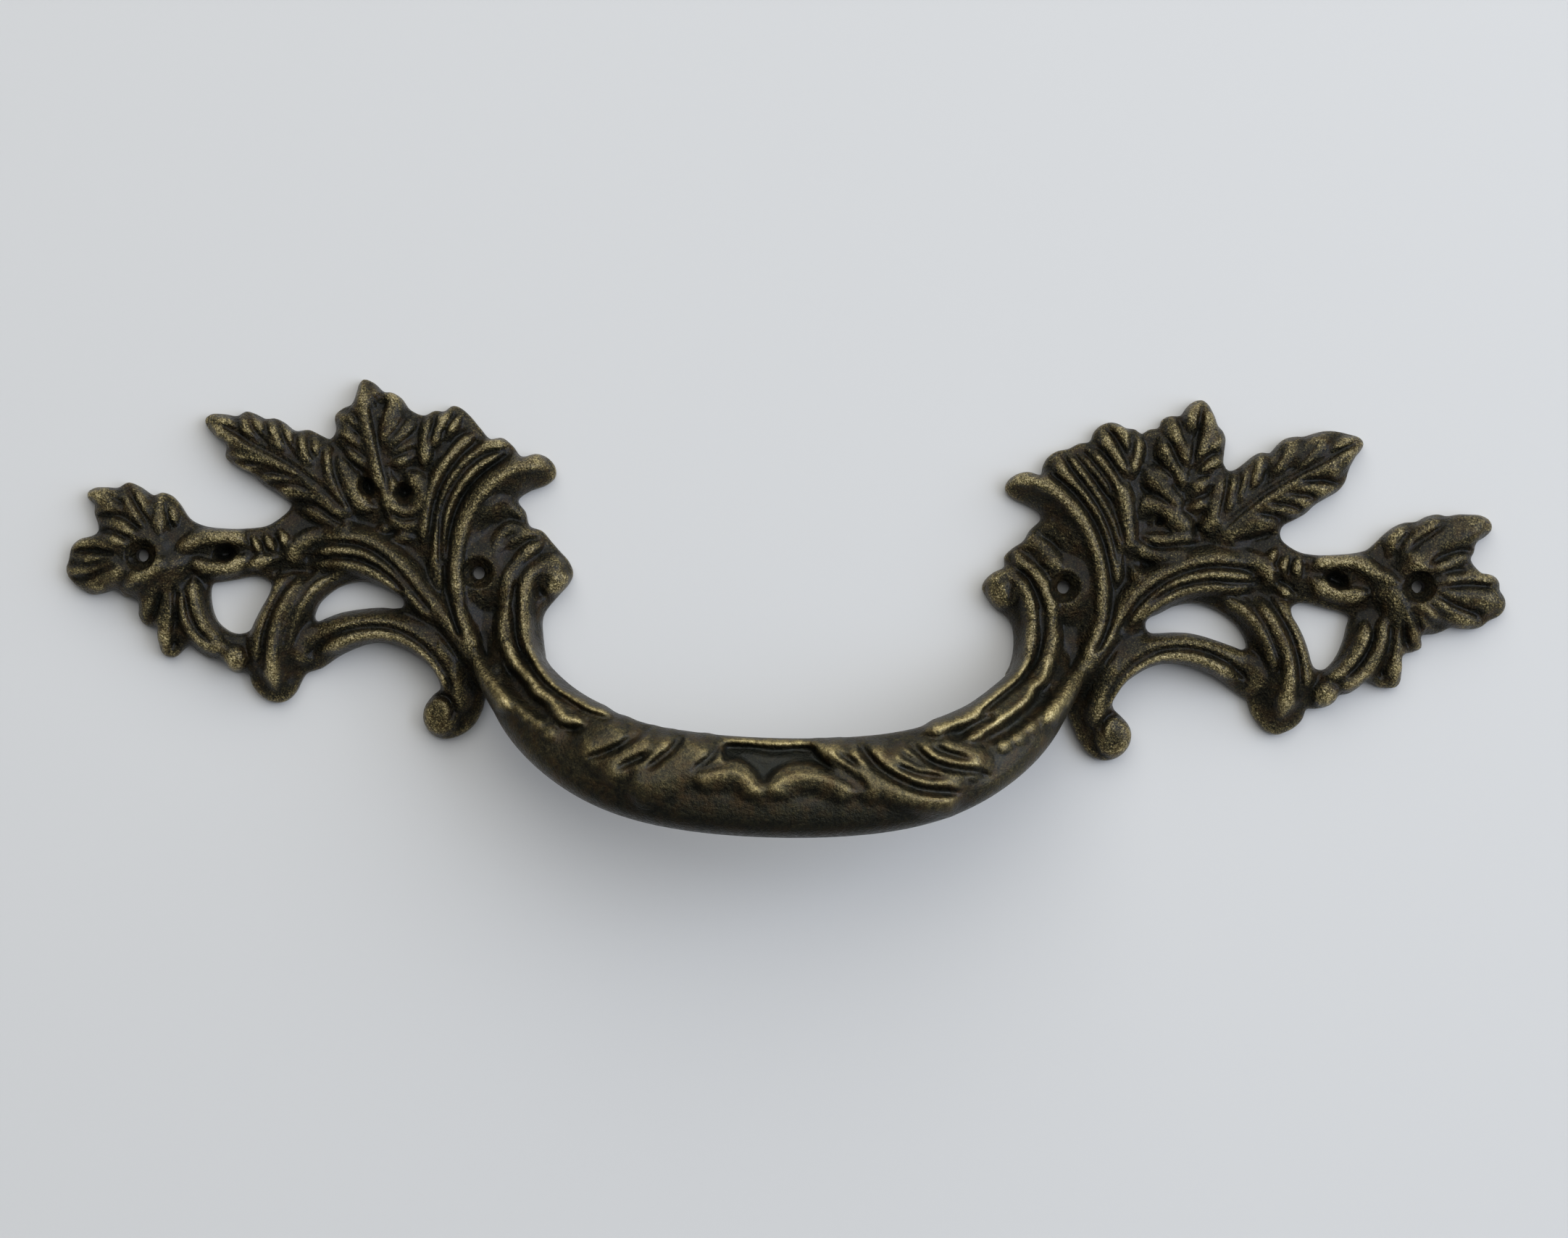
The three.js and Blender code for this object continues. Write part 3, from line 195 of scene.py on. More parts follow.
left_branch = [
    [0.85, [-78.6, 1.4], [-77.2, 2.6], [-75.2, 3.7], [-73, 4], [-70.8, 3.9], [-69.5, 3]],
    [0.8, [-77, 0.8], [-74.4, -0.3], [-72, -0.2], [-70.3, 0.5], [-69.2, 1.6]],
    [0.55, [-68.6, 4], [-68.1, 2.7], [-67.4, 1.7]], [0.55, [-66.9, 4.3], [-66.4, 3], [-65.7, 2.2]],
    [0.55, [-65.2, 4.9], [-64.5, 3.7], [-64.4, 2.4]], [0.7, [-69.5, -0.1], [-67.5, 0.8], [-65.7, 1.3]]]
left_long_leaf = [
    [0.85, [-74.4, 18.7], [-71.5, 16.6], [-68.5, 15], [-65.5, 13.6], [-62.5, 12.1], [-60.2, 10.6],
     [-57.8, 8.3], [-56, 6.6]],
    [0.6, [-74.2, 19.4], [-72.2, 18.4], [-70.8, 17.6]],
    [0.7, [-70.6, 19.6], [-69.7, 18.1], [-68.3, 16.5]],
    [0.6, [-69.2, 19.5], [-68.3, 18.3], [-67.4, 17.2]],
    [0.7, [-66.9, 19], [-66.4, 17.6], [-65.6, 16.2], [-64.4, 15]],
    [0.6, [-65.3, 18.7], [-64.5, 17.2], [-63.6, 15.7]],
    [0.7, [-62.8, 17.5], [-62.5, 15.9], [-61.8, 14.3], [-60.8, 12.9]],
    [0.6, [-61.2, 17], [-60.7, 15.5], [-60.2, 14.2]],
    [0.75, [-59.4, 16.2], [-59.3, 14.5], [-58.8, 12.3], [-57.6, 9.8], [-56.2, 7.8]],
    [0.7, [-57.9, 15.2], [-57, 13], [-56, 10.7], [-55.2, 9], [-54, 7.4]],
    [0.75, [-72.2, 14.9], [-70, 14.2], [-67.6, 13.9], [-65.3, 13.1]],
    [0.6, [-71.4, 13.6], [-69.6, 13], [-67.6, 12.8], [-65.6, 12.4]],
    [0.7, [-68.2, 11.6], [-65.8, 11.7], [-63.4, 11.6], [-61.2, 10.6]],
    [0.9, [-66, 10.4], [-64, 10.2], [-62, 9.9], [-60.2, 9.2], [-58.4, 7.7], [-56.4, 6]],
    [0.7, [-62.6, 8], [-60.6, 7.5], [-58.8, 6.4], [-57, 5.6], [-55, 5.2]]]
left_top_leaf = [
    [0.75, [-55, 24], [-54.7, 22.4], [-54.5, 20.4], [-54, 18], [-53.2, 15.5], [-52.5, 13], [-51.5, 10.2]],
    [0.6, [-53.6, 23.8], [-53, 22.2]], [0.7, [-56.1, 22], [-55.6, 20.8], [-55.2, 19.4]],
    [0.75, [-58, 20], [-56.3, 19], [-55.2, 17.6]], [0.75, [-57.9, 18.6], [-56.4, 17], [-54.7, 15.3]],
    [0.75, [-57, 16.2], [-55.5, 14.7], [-53.8, 13.3]],
    [0.75, [-52.4, 22.4], [-51.3, 22.6], [-50.8, 21.4], [-51.6, 19.8], [-52.5, 18]],
    [0.75, [-49.8, 20.6], [-50.6, 18.9], [-51.8, 17.2], [-52.4, 16]],
    [0.75, [-48.2, 19.9], [-49.1, 18.2], [-50.3, 16.8], [-51.6, 15.5]],
    [0.7, [-47.5, 17.2], [-49.3, 16.1], [-51.2, 14.9]],
    [0.65, [-47.8, 15.2], [-49.8, 14.4], [-51.3, 13.9]],
    [0.65, [-55.5, 12.6], [-55.3, 10.4], [-54.4, 8.4], [-52.9, 8.1]],
    [0.7, [-51.5, 12.6], [-51.1, 10.4], [-50.7, 8.4], [-49.3, 7.5], [-47.6, 8], [-46.9, 9.6],
     [-47.5, 11.6], [-48.9, 12.9]],
    [0.6, [-51.4, 7.3], [-49.8, 6.2], [-48.2, 6], [-46.8, 7]], [0.55, [-52.6, 5.2], [-50.6, 5.9]],
    [0.55, [-50.8, 3.9], [-49.2, 4.5], [-47.6, 4.2]]]
left_fan = [
    [0.75, [-46.1, 20.2], [-46.4, 18.6], [-46.6, 16.5], [-46.6, 13.5]],
    [0.75, [-43.5, 21], [-44.2, 19.8], [-45.2, 17.9], [-45.9, 15.8]],
    [0.6, [-42.2, 20.4], [-43.2, 18.9], [-44, 17.4]],
    [0.75, [-40.4, 18], [-42.4, 15.9], [-44.1, 13.6], [-45.4, 11], [-46, 9], [-46.3, 6.6], [-46.6, 3.8]],
    [0.85, [-36, 16.9], [-38.5, 16.4], [-40.6, 15.1], [-42.4, 13], [-43.8, 10.4], [-44.6, 7.5],
     [-44.9, 5], [-44.8, 1.6], [-44, -2.6]],
    [0.55, [-36.4, 15.7], [-38.6, 14.5], [-40.6, 12.8], [-42.3, 10.4], [-43.3, 7.4], [-43.7, 4.2],
     [-43.6, 0]]]
left_rims = [
    [1.15, [-30.8, 14], [-32.6, 14.7], [-35, 14.2], [-37, 12.9], [-38.8, 11.3], [-40.3, 9.2],
     [-41.5, 6.9], [-42.2, 4.4], [-42.5, 1.6], [-42.4, -1.4], [-42.1, -4.6], [-41.4, -6.8], [-40.4, -8.8],
     [-39.4, -10.6]],
    [0.85, [-31.2, 4.2], [-32.6, 3.1], [-34, 1.5], [-35.1, -0.4], [-35.6, -2.6], [-35.7, -5],
     [-35.7, -7.5], [-35.3, -9.3], [-34.7, -10.8], [-33.8, -12], [-32.6, -13.2], [-31.8, -14],
     [-31.4, -15], [-30.6, -15.5], [-29.6, -16.1], [-28.9, -17], [-28.2, -18], [-27.4, -18.6],
     [-26, -18.9], [-24.6, -19.5]],
    [1, [-29.2, -0.6], [-29, 0.4], [-29.5, 1.4], [-30.6, 1.4], [-31.8, 0.9], [-32.6, 0], [-33.2, -1.8],
     [-33.4, -4], [-33.3, -6], [-33.1, -8], [-32.4, -10], [-31.5, -12], [-30.4, -13.6], [-29.2, -14.9],
     [-27.8, -15.8], [-26, -16.7], [-24, -17.6], [-21.2, -18.5]]]
left_wrinkles = [
    [0.95, [-39, 7.2], [-37.7, 8.1], [-36, 8.6], [-34.7, 8.2], [-34.1, 7.3]],
    [0.85, [-37.3, 2.8], [-36.1, 4.8], [-34.9, 6], [-33.5, 6]],
    [0.65, [-35.8, 3.4], [-34.3, 4.9], [-32.9, 5.4], [-31.6, 5]]]
left_scroll = [
    [1.15, [-61.9, 0.6], [-63, 1.7], [-62.4, 3], [-60.8, 3.9], [-58.8, 4.3], [-56.4, 4.4], [-54, 4.1],
     [-51.9, 3.1], [-49.9, 1.5], [-47.9, -0.6], [-46.2, -2.7], [-44.5, -4.6], [-42.9, -6.3],
     [-41.4, -8.4], [-40, -10.6], [-38.9, -12.4], [-37.8, -14], [-36.4, -15.8], [-34.6, -17.8]],
    [0.85, [-60.4, 2.1], [-58, 2.5], [-55.2, 2.3], [-52.7, 1.4], [-50.5, 0], [-48.5, -2], [-46.6, -4.2],
     [-44.9, -6.2]],
    [0.8, [-60.8, 0.4], [-58.2, 0.7], [-55.4, 0.5], [-52.8, -0.3], [-50.7, -1.6], [-48.9, -3.2]]]
left_strap = [
    [0.9, [-56.4, -0.4], [-58.7, -0.8], [-60.5, -2], [-62, -3.9], [-63.1, -6.2], [-63.7, -8.6],
     [-64, -11]],
    [1, [-61.7, -0.9], [-63.1, -2.1], [-64.4, -4.3], [-65.3, -7], [-65.8, -10], [-65.8, -13],
     [-65.3, -15.6]],
    [0.8, [-63.7, -0.8], [-65.2, -2.6], [-66.5, -4.9], [-67.4, -7.4], [-67.9, -9.8], [-67.9, -12.4]]]
left_lower_scroll = [
    [1.1, [-60.6, -11.9], [-62, -11.2], [-61.8, -9.8], [-60.4, -8.6], [-58.5, -7.7], [-56, -6.9],
     [-53.6, -6.5], [-51.2, -6.5], [-48.8, -7.1], [-46.5, -8.2], [-44.4, -9.8], [-42.7, -11.8],
     [-41.5, -13.9], [-41, -16.2], [-41.4, -18.4]],
    [0.9, [-59.2, -10.6], [-57.3, -9.5], [-54.8, -8.5], [-52, -8.1], [-49.2, -8.5], [-46.8, -9.7],
     [-44.8, -11.5], [-43.4, -13.6], [-42.9, -15.4]]]
left_ground = [
    [3.4, [-86.5, 7.2], [-83.5, 4.2], [-80, 1.4]], [3.2, [-89.5, 0.3], [-86, 0.6], [-81, 0.8]],
    [2.6, [-82, -4.5], [-80.6, -1.5], [-78, 0.5]],
    [3.4, [-80, 1.4], [-76, 2], [-71, 2.4], [-66, 3.2], [-62, 4.4]],
    [3.2, [-77.3, -2], [-76.8, -5.2], [-75, -8.4], [-72, -10.6], [-68, -11.4]],
    [3.8, [-72.5, 17.4], [-69, 16], [-65, 14.4], [-61, 12.4], [-57.5, 9.6], [-54, 7]],
    [4.6, [-54.6, 21.4], [-53.6, 17.6], [-52, 13], [-50.6, 8.6], [-50, 5]],
    [4, [-43.6, 18.4], [-45, 14], [-45.6, 9], [-45.6, 4], [-44.6, 0]],
    [4, [-37, 14], [-40, 11.4], [-42, 7], [-42.6, 2], [-42, -3]],
    [5, [-33, 5.6], [-35.6, 3], [-38.6, 0], [-38.6, -5], [-36.5, -10]],
    [4, [-30.4, 0.2], [-33.4, -1.6], [-34.6, -5], [-34.4, -8.6], [-33.4, -11]],
    [4, [-59.6, 2], [-56.4, 2.4], [-53, 1.6], [-50, -0.4], [-47.2, -3.2], [-44.4, -6.2], [-40.6, -9.8],
     [-37.6, -13.4]],
    [3.4, [-59.4, -10.4], [-56, -8.9], [-52, -8], [-48.4, -8.6], [-45.2, -10.8], [-43, -14],
     [-42.4, -17.4]],
    [3.6, [-60, -2.4], [-63, -4.6], [-65, -8], [-65.6, -12], [-65.2, -14.6]]]
left_mass = [
    [3.4, [-59.6, 2], [-56.4, 2.4], [-53, 1.6], [-50, -0.4], [-47.2, -3.2], [-44.4, -6.2], [-41.6, -9.8],
     [-38.6, -13.4]],
    [2.7, [-59.4, -10.4], [-56, -8.9], [-52, -8], [-48.4, -8.6], [-45.2, -10.8], [-43, -14],
     [-42.4, -17.4]],
    [2.9, [-60, -2.4], [-63, -4.6], [-65, -8], [-65.6, -12], [-65.2, -14.6]],
    [3, [-30.4, 0.2], [-33, -1.6], [-34, -5], [-33.6, -8.6], [-32.4, -11.4], [-30.4, -14]],
    [2.4, [-65.3, -14.9], [-65.4, -12.5], [-65.1, -9.5]],
    [2, [-31.5, 13.5], [-33.6, 13.2], [-35.7, 12.1], [-37.7, 10.4], [-39.4, 8], [-40.8, 5], [-41.3, 2],
     [-41.2, -1.5], [-40.6, -5], [-39.4, -8.6]]]
left_flank = [
    [3, [-33, 13], [-36, 11.6], [-38.4, 9], [-40, 5.6], [-40.6, 2], [-40.6, -2], [-40.2, -5],
     [-39.4, -8.6]],
    [2.4, [-38, 14.8], [-41, 12], [-43.2, 8], [-43.8, 3], [-43.4, -1.6], [-42.8, -4.6], [-41.6, -7.6]]]
left_hollow = [
    [1.15, 2.6, [-73.6, 1.1], [-72.2, 1.8], [-70.9, 2]], [1, 2.2, [-54.8, 12], [-54, 10.6], [-53.3, 9.7]],
    [1.35, 2.4, [-49.5, 11.2], [-49.2, 9.3]],
    [0.42, 1.3, [-73.2, 18.6], [-71, 17.3], [-68.7, 15.9], [-66, 14.6], [-63.5, 13.2], [-61.5, 11.8],
     [-60.3, 11], [-58.4, 9.2], [-56.8, 7.7]],
    [0.42, 1.3, [-53.9, 21.6], [-53.3, 19.1], [-52.7, 16.5], [-52.1, 14], [-51.4, 11.5], [-50.9, 9.4]],
    [0.32, 1, [-80.3, 8.5], [-79.9, 6.6], [-79.2, 4.4]],
    [0.32, 1, [-85, 9.6], [-83.8, 7.8], [-82.4, 5.7]], [0.32, 1, [-88, 9.4], [-86.6, 8.4], [-85.2, 7.8]],
    [0.35, 1, [-88.8, 6.3], [-86.5, 6.4], [-84.6, 5.5], [-83, 4.4]],
    [0.35, 1, [-88.6, 4.3], [-86.6, 4.2], [-84.2, 3.3]],
    [0.4, 1.1, [-91.6, 1.75], [-89, 1.65], [-86.3, 1.35]],
    [0.35, 1, [-92.4, -0.1], [-90, -0.2], [-87, 0.5]],
    [0.35, 1, [-92.2, -1.9], [-89.8, -1.7], [-88, -0.9], [-86, -0.2]],
    [0.32, 1, [-84.9, -3.9], [-84, -3.1], [-82.6, -2.2]],
    [0.4, 1.2, [-81.6, -7.4], [-80.9, -5.2], [-80.3, -3]],
    [0.5, 1.4, [-78.7, -10.8], [-78.6, -8.4], [-78.3, -5.6], [-78.6, -2.6]],
    [0.4, 1.2, [-77.2, -3.6], [-76.6, -6.4], [-75.3, -8.6], [-73.6, -9.9]],
    [0.32, 1, [-69, 3.5], [-68.5, 2.5], [-68, 1.8]], [0.32, 1, [-67.8, 3.9], [-67.2, 3], [-66.6, 2.3]],
    [0.32, 0.9, [-65.9, 4.4], [-65.4, 3.4], [-65, 2.6]],
    [0.4, 1.1, [-64.6, 1.2], [-65.4, 0], [-66.2, -0.9]],
    [0.32, 1, [-69.8, 19.5], [-69, 18.1], [-68, 16.9]],
    [0.35, 1, [-67.7, 19.2], [-67, 17.5], [-66.1, 16.2]],
    [0.32, 1, [-66, 19], [-65, 17.2], [-64.3, 15.8]],
    [0.35, 1, [-63.8, 17.7], [-63.3, 16], [-62.6, 14.4]],
    [0.32, 1, [-62, 17.3], [-61.6, 15.6], [-60.9, 14]], [0.35, 1, [-60.1, 16], [-60, 14], [-59.4, 12]],
    [0.35, 1.1, [-58.6, 15.5], [-58.3, 13], [-57.4, 10.5], [-56, 8]],
    [0.35, 1, [-72.3, 14.3], [-70, 13.55], [-68, 13.2], [-66, 12.7]],
    [0.4, 1.1, [-69.2, 12.6], [-66.5, 12.4], [-64, 11.9], [-62, 11.2]],
    [0.35, 1, [-67.6, 11.1], [-65.4, 11], [-63, 10.8], [-61.2, 10]],
    [0.45, 1.2, [-64.3, 8.7], [-62, 8.5], [-60.2, 7.9], [-58.4, 6.7], [-56.6, 5.6]],
    [0.32, 0.9, [-56.6, 21.2], [-55.9, 20.2], [-55.4, 19]],
    [0.32, 0.9, [-57.4, 19.7], [-56, 18.5], [-54.9, 17.2]],
    [0.4, 1.1, [-58.1, 17.5], [-56.4, 16.2], [-54, 14.3]],
    [0.35, 1, [-57.3, 14.8], [-55.8, 13.7], [-54.2, 12.6]],
    [0.4, 1.3, [-51.9, 21.7], [-52.3, 20.2], [-52.8, 18.4]],
    [0.32, 0.9, [-49.2, 20.4], [-50.1, 18.7], [-51.5, 16.9]],
    [0.32, 0.9, [-47.5, 18.8], [-48.8, 17.3], [-50.9, 15.5]],
    [0.32, 0.9, [-47.6, 16.2], [-49.4, 15.3], [-51.2, 14.4]],
    [0.35, 1, [-51.1, 7.9], [-49.5, 6.9], [-47.8, 7.1], [-46.8, 8]],
    [0.45, 1, [-51.8, 6.1], [-51.2, 6.3]], [0.5, 1.1, [-50.6, 4.8], [-49.6, 5.1]],
    [0.5, 1.1, [-49.8, 2.7], [-48.6, 2.6]], [0.4, 1.1, [-45.2, 20.4], [-45.7, 18.6], [-46.3, 16.4]],
    [0.35, 1, [-42.7, 20.7], [-43.6, 19.3], [-44.7, 17.3]],
    [0.35, 1, [-41.4, 18.6], [-43, 16.8], [-44.7, 14.4]],
    [0.5, 1.4, [-39, 17.3], [-41.2, 15.8], [-43, 13.7], [-44.4, 11.2], [-45.1, 8.4], [-45.5, 5],
     [-45.7, 1.6]],
    [0.4, 1.2, [-37, 16], [-39.4, 15.1], [-41.4, 13.3], [-43, 10.9], [-44.1, 7.8], [-44.3, 4.6],
     [-44.2, 0.6]],
    [0.5, 1.5, [-35.4, 15.5], [-38, 13.8], [-40.3, 11.6], [-41.9, 9.2], [-42.9, 6.2], [-43.3, 3],
     [-43.4, -0.6], [-43, -3.6], [-42.2, -6.2], [-41.2, -8.6]],
    [0.45, 1.3, [-34, -0.8], [-34.6, -3.4], [-34.5, -6.4], [-33.9, -9.2], [-32.8, -11.6]],
    [0.7, 1.4, [-29.9, 0], [-30.8, -1.2], [-31.6, -3.4]],
    [0.4, 0.9, [-35.8, 7.1], [-34.7, 7], [-33.5, 6.6]],
    [0.35, 0.8, [-36.6, 3.4], [-35.4, 4.9], [-34.1, 5.2]],
    [0.5, 1.3, [-61.6, 2.5], [-59.4, 3.3], [-56.4, 3.4], [-53.6, 2.8], [-51.2, 1.3], [-49.1, -0.8],
     [-47, -3.2], [-45.2, -5.2]],
    [0.42, 1.2, [-60.6, 1.3], [-58, 1.6], [-55.2, 1.4], [-52.7, 0.5], [-50.6, -0.9], [-48.6, -2.8]],
    [0.42, 1.2, [-57.4, -0.1], [-59.6, -0.9], [-61.4, -2.6], [-62.7, -5], [-63.6, -7.6], [-64.2, -10.4]],
    [0.45, 1.3, [-62.6, -0.8], [-64.2, -2.5], [-65.5, -4.9], [-66.4, -7.6], [-66.8, -10.4],
     [-66.9, -13.6]],
    [0.45, 1.2, [-60.8, -10.6], [-58.8, -9.1], [-56, -7.8], [-53, -7.3], [-50.2, -7.5], [-47.6, -8.6],
     [-45.4, -10.3], [-43.5, -12.6], [-42.2, -15.4]],
    [0.55, 1.6, [-44.3, -15.9], [-42.9, -16.4], [-42.1, -17.7], [-42.5, -19]]]
left_balls = [
    [-70.7, -11.9, 1.9], [-43.9, -18.7, 2.7], [-29.3, -0.8, 2.1]]

# Right wing
right_outline = [
    [37.5, -15.9], [38, -17.2], [38.6, -18.6], [39.4, -20.1], [40.4, -21.4], [41.6, -22.2], [42.9, -22.4],
    [44.3, -22], [45.3, -21.1], [45.9, -19.9], [46, -18.7], [45.6, -17.6], [44.7, -16.6], [43.7, -15.7],
    [43.4, -14.8], [44.1, -13.4], [45.1, -12.1], [46.6, -11], [48.2, -10.1], [49.8, -9.65], [51.5, -9.65],
    [53.5, -10], [55.5, -10.6], [57.2, -11.5], [58.7, -12.6], [60, -13.5], [60.9, -14], [61.6, -15.8],
    [62.5, -17.1], [63.5, -18], [64.8, -18.5], [66, -18.2], [67.4, -17.4], [68.3, -16.4], [68.8, -15.1],
    [70, -15], [71.4, -14.7], [72.3, -14], [72.9, -13.2], [74.2, -12.9], [75.3, -12.2], [76.4, -11.3],
    [77.3, -11.5], [78.2, -12], [79.4, -12.1], [80.4, -11.9], [80.95, -11.1], [81, -9.5], [81.1, -7.8],
    [82.5, -7.3], [83.5, -6.8], [83.6, -6], [83.5, -5.2], [85.2, -4.9], [86.3, -4.5], [87.2, -4.05],
    [88.7, -4.15], [90.2, -4.15], [91.3, -3.8], [92.3, -3], [93.5, -2.4], [94.2, -1.6], [94.4, -0.6],
    [94.1, 0.3], [93.6, 1], [93.5, 2], [92.9, 2.8], [91.9, 3.1], [91, 3.2], [90.1, 4.2], [89.7, 5],
    [90.1, 5.9], [90.3, 7], [91.6, 8], [92.3, 8.8], [92.3, 9.6], [91.8, 10.3], [90.8, 10.7],
    [89.3, 10.75], [87.9, 10.75], [86.4, 10.5], [85.2, 10.7], [83.8, 10.35], [82.6, 9.7], [81, 9.5],
    [79.8, 9], [78.6, 8.1], [77.4, 6.9], [76.2, 5.85], [74.6, 5.4], [72, 5.1], [69.8, 5], [67.6, 5.25],
    [66.2, 5.9], [65.1, 6.8], [64.8, 7.7], [65.2, 8.7], [66.6, 9.5], [68.1, 10.4], [69.2, 11.5],
    [70.8, 12.5], [72.2, 13.4], [73.1, 14.6], [73.5, 16], [74.2, 17.7], [75.1, 18.8], [75.4, 19.7],
    [74.9, 20.4], [73.2, 20.9], [71.5, 21.2], [70.1, 21.15], [68.8, 20.8], [67.6, 20.4], [66.3, 20.35],
    [65.1, 20], [64.1, 19.1], [63.2, 18.15], [62.1, 18.2], [61.1, 17.7], [59.8, 16.6], [58.6, 15.8],
    [57.8, 15.75], [57.2, 16.6], [57.25, 18.2], [57.4, 19.9], [57, 20.9], [56.3, 21.6], [55.8, 22.9],
    [55.2, 24.1], [54.3, 24.8], [53.2, 24.6], [52.2, 23.7], [51.5, 22.75], [50, 22.6], [49.1, 22.1],
    [48.7, 21.1], [47.4, 20.8], [46.5, 20.25], [45.6, 20.8], [44.4, 20.95], [43.4, 21.5], [42.2, 21.6],
    [41, 21.1], [40.2, 20.2], [39.8, 19.1], [38.3, 18.75], [37, 18.05], [35.5, 17.7], [34.3, 16.8],
    [33.7, 15.6], [33.5, 14.55], [31.8, 14.9], [30.2, 14.5], [29.1, 13.5], [28.9, 12.5], [29.8, 11.5],
    [31.6, 10.7], [33.3, 9.7], [33.6, 8.8], [32.3, 7.4], [31.4, 5.9], [30, 4.9], [29, 3.8], [29, 2.5],
    [27.6, 1.7], [26.5, 0.6], [26.2, -0.4], [27, -1.8], [28, -3], [29.2, -3.8], [30.1, -5], [30.5, -7],
    [30.4, -9], [30, -10.5], [29.5, -11.7], [31, -12.8], [34.6, -13.6]]
right_end_window = [
    [74.05, -2.9], [73.3, -2.4], [71.8, -2.1], [70.2, -1.7], [68.6, -1.35], [67.3, -1.35], [66.5, -2],
    [66.5, -2.9], [67.3, -4.2], [68.1, -5.7], [68.8, -7.5], [69.3, -9.1], [69.9, -9.8], [70.9, -9.9],
    [71.7, -9.3], [72.6, -8], [73.4, -6], [73.8, -4.2]]
right_scroll_window = [
    [60.8, -7.2], [60.5, -6.1], [59.8, -4.9], [58.8, -3.8], [57.4, -2.8], [55.9, -2.1], [54.4, -1.75],
    [52.8, -1.75], [51, -2.2], [49.3, -3.1], [47.7, -3.95], [47.5, -4.9], [48.1, -5.6], [49.3, -5.65],
    [51.2, -5.5], [53.2, -5.55], [55, -5.9], [57, -6.5], [59, -7.15], [60.3, -7.55]]
right_end_leaf = [
    [0.75, [78.8, 5.4], [79.5, 6.8], [80.3, 7.9], [81.5, 8.7]],
    [0.75, [80.3, 5], [81.3, 6.7], [82.6, 7.8], [84, 8.9], [85.6, 10]],
    [1.35, [80.9, 3.6], [82.4, 5], [84.2, 6.4], [86.2, 7.6], [88.2, 8.6], [90.2, 9.3], [91.6, 9.3]],
    [0.9, [84.2, 3.6], [86, 4.3], [87.6, 4.9], [89.2, 4.9]],
    [0.85, [85.6, 1.8], [87.2, 2.3], [89.2, 2.7], [91, 2.5], [92.8, 2]],
    [1.2, [85.6, 0.6], [87.6, 0.2], [89.6, 0], [91.6, -0.2], [93.6, -0.8]],
    [0.9, [84.3, -0.4], [86.2, -1.5], [88.3, -2.6], [90.6, -3.2]],
    [0.8, [82.3, -0.9], [84, -2], [86.2, -2.9]], [0.7, [81.8, -1.6], [83, -3], [84.6, -4.2]],
    [0.85, [80.3, -1], [81.5, -3], [82.3, -5], [82.8, -6.5]],
    [0.95, [76.8, 1.8], [78.3, 0.4], [79.5, -1.2], [79.9, -3.4], [80, -6], [80, -8.6], [79.9, -11]]]
right_hoop = [
    [0.85, [78.6, -2.4], [78.4, -4.8], [77.7, -7.2], [76.6, -9.2], [75.3, -10.8], [73.9, -11.6],
     [72.3, -12]],
    [0.8, [76, -3.6], [75.7, -5.8], [74.8, -7.8], [73.6, -9.5], [72.2, -10.6], [70.6, -11]]]
right_branch = [
    [0.85, [80.1, 1.3], [78.4, 2], [76.7, 3], [74.9, 4.1], [72.8, 4.5], [70.6, 4.3], [69.1, 3.5]],
    [0.85, [76.4, 0.2], [74.2, -0.3], [72, 0.1], [70.2, 0.8], [68.8, 1.9]],
    [0.6, [67.2, 4.6], [66.8, 3.3], [67.2, 2]], [0.55, [65.7, 4.7], [65.1, 3.5], [65.3, 2.4]],
    [0.6, [64.2, 5.6], [63.6, 4.6], [63.4, 3.4]], [0.7, [64.3, 0.8], [65.4, 0.1], [66.6, -0.5]]]
right_long_leaf = [
    [0.9, [74.7, 19.4], [72.6, 17.9], [70.4, 16.7], [68, 15.5], [65.4, 13.9], [62.6, 12], [60.2, 10.2],
     [58, 8.4], [56.4, 7]],
    [0.6, [74.4, 20.1], [72.4, 19.3], [70.4, 18.2]],
    [0.9, [70.7, 20.6], [69, 19], [67.4, 17.4], [65.8, 16]],
    [0.9, [66.8, 20], [65.6, 18.4], [64.2, 16.8], [62.8, 15.2]],
    [0.7, [62.3, 17.8], [61.5, 16.3], [60.9, 14.7], [60.4, 13]],
    [0.6, [60.1, 16.3], [59.9, 14.6], [59.5, 12.9], [58.8, 11.2]],
    [0.6, [58.7, 15.4], [58.4, 13.6], [57.9, 11.6], [57.2, 9.8]],
    [0.8, [57, 15.1], [56.7, 13.2], [56.2, 11.2], [55.9, 9], [55.2, 7.4]],
    [0.9, [73, 16.6], [71, 16.3], [69, 15.9]], [0.75, [71.6, 13.7], [69.4, 13.5], [67.2, 13.5], [65, 13]],
    [0.75, [69.2, 11.7], [67.2, 11.9], [65, 12.1], [62.8, 11.4]],
    [0.6, [67.4, 10.5], [65.4, 10.8], [63.2, 10.9], [61.4, 10.4]],
    [1.1, [64, 8.3], [62.6, 9], [61, 9.2], [59.5, 8.3], [58, 7.2], [56.6, 6.3]]]
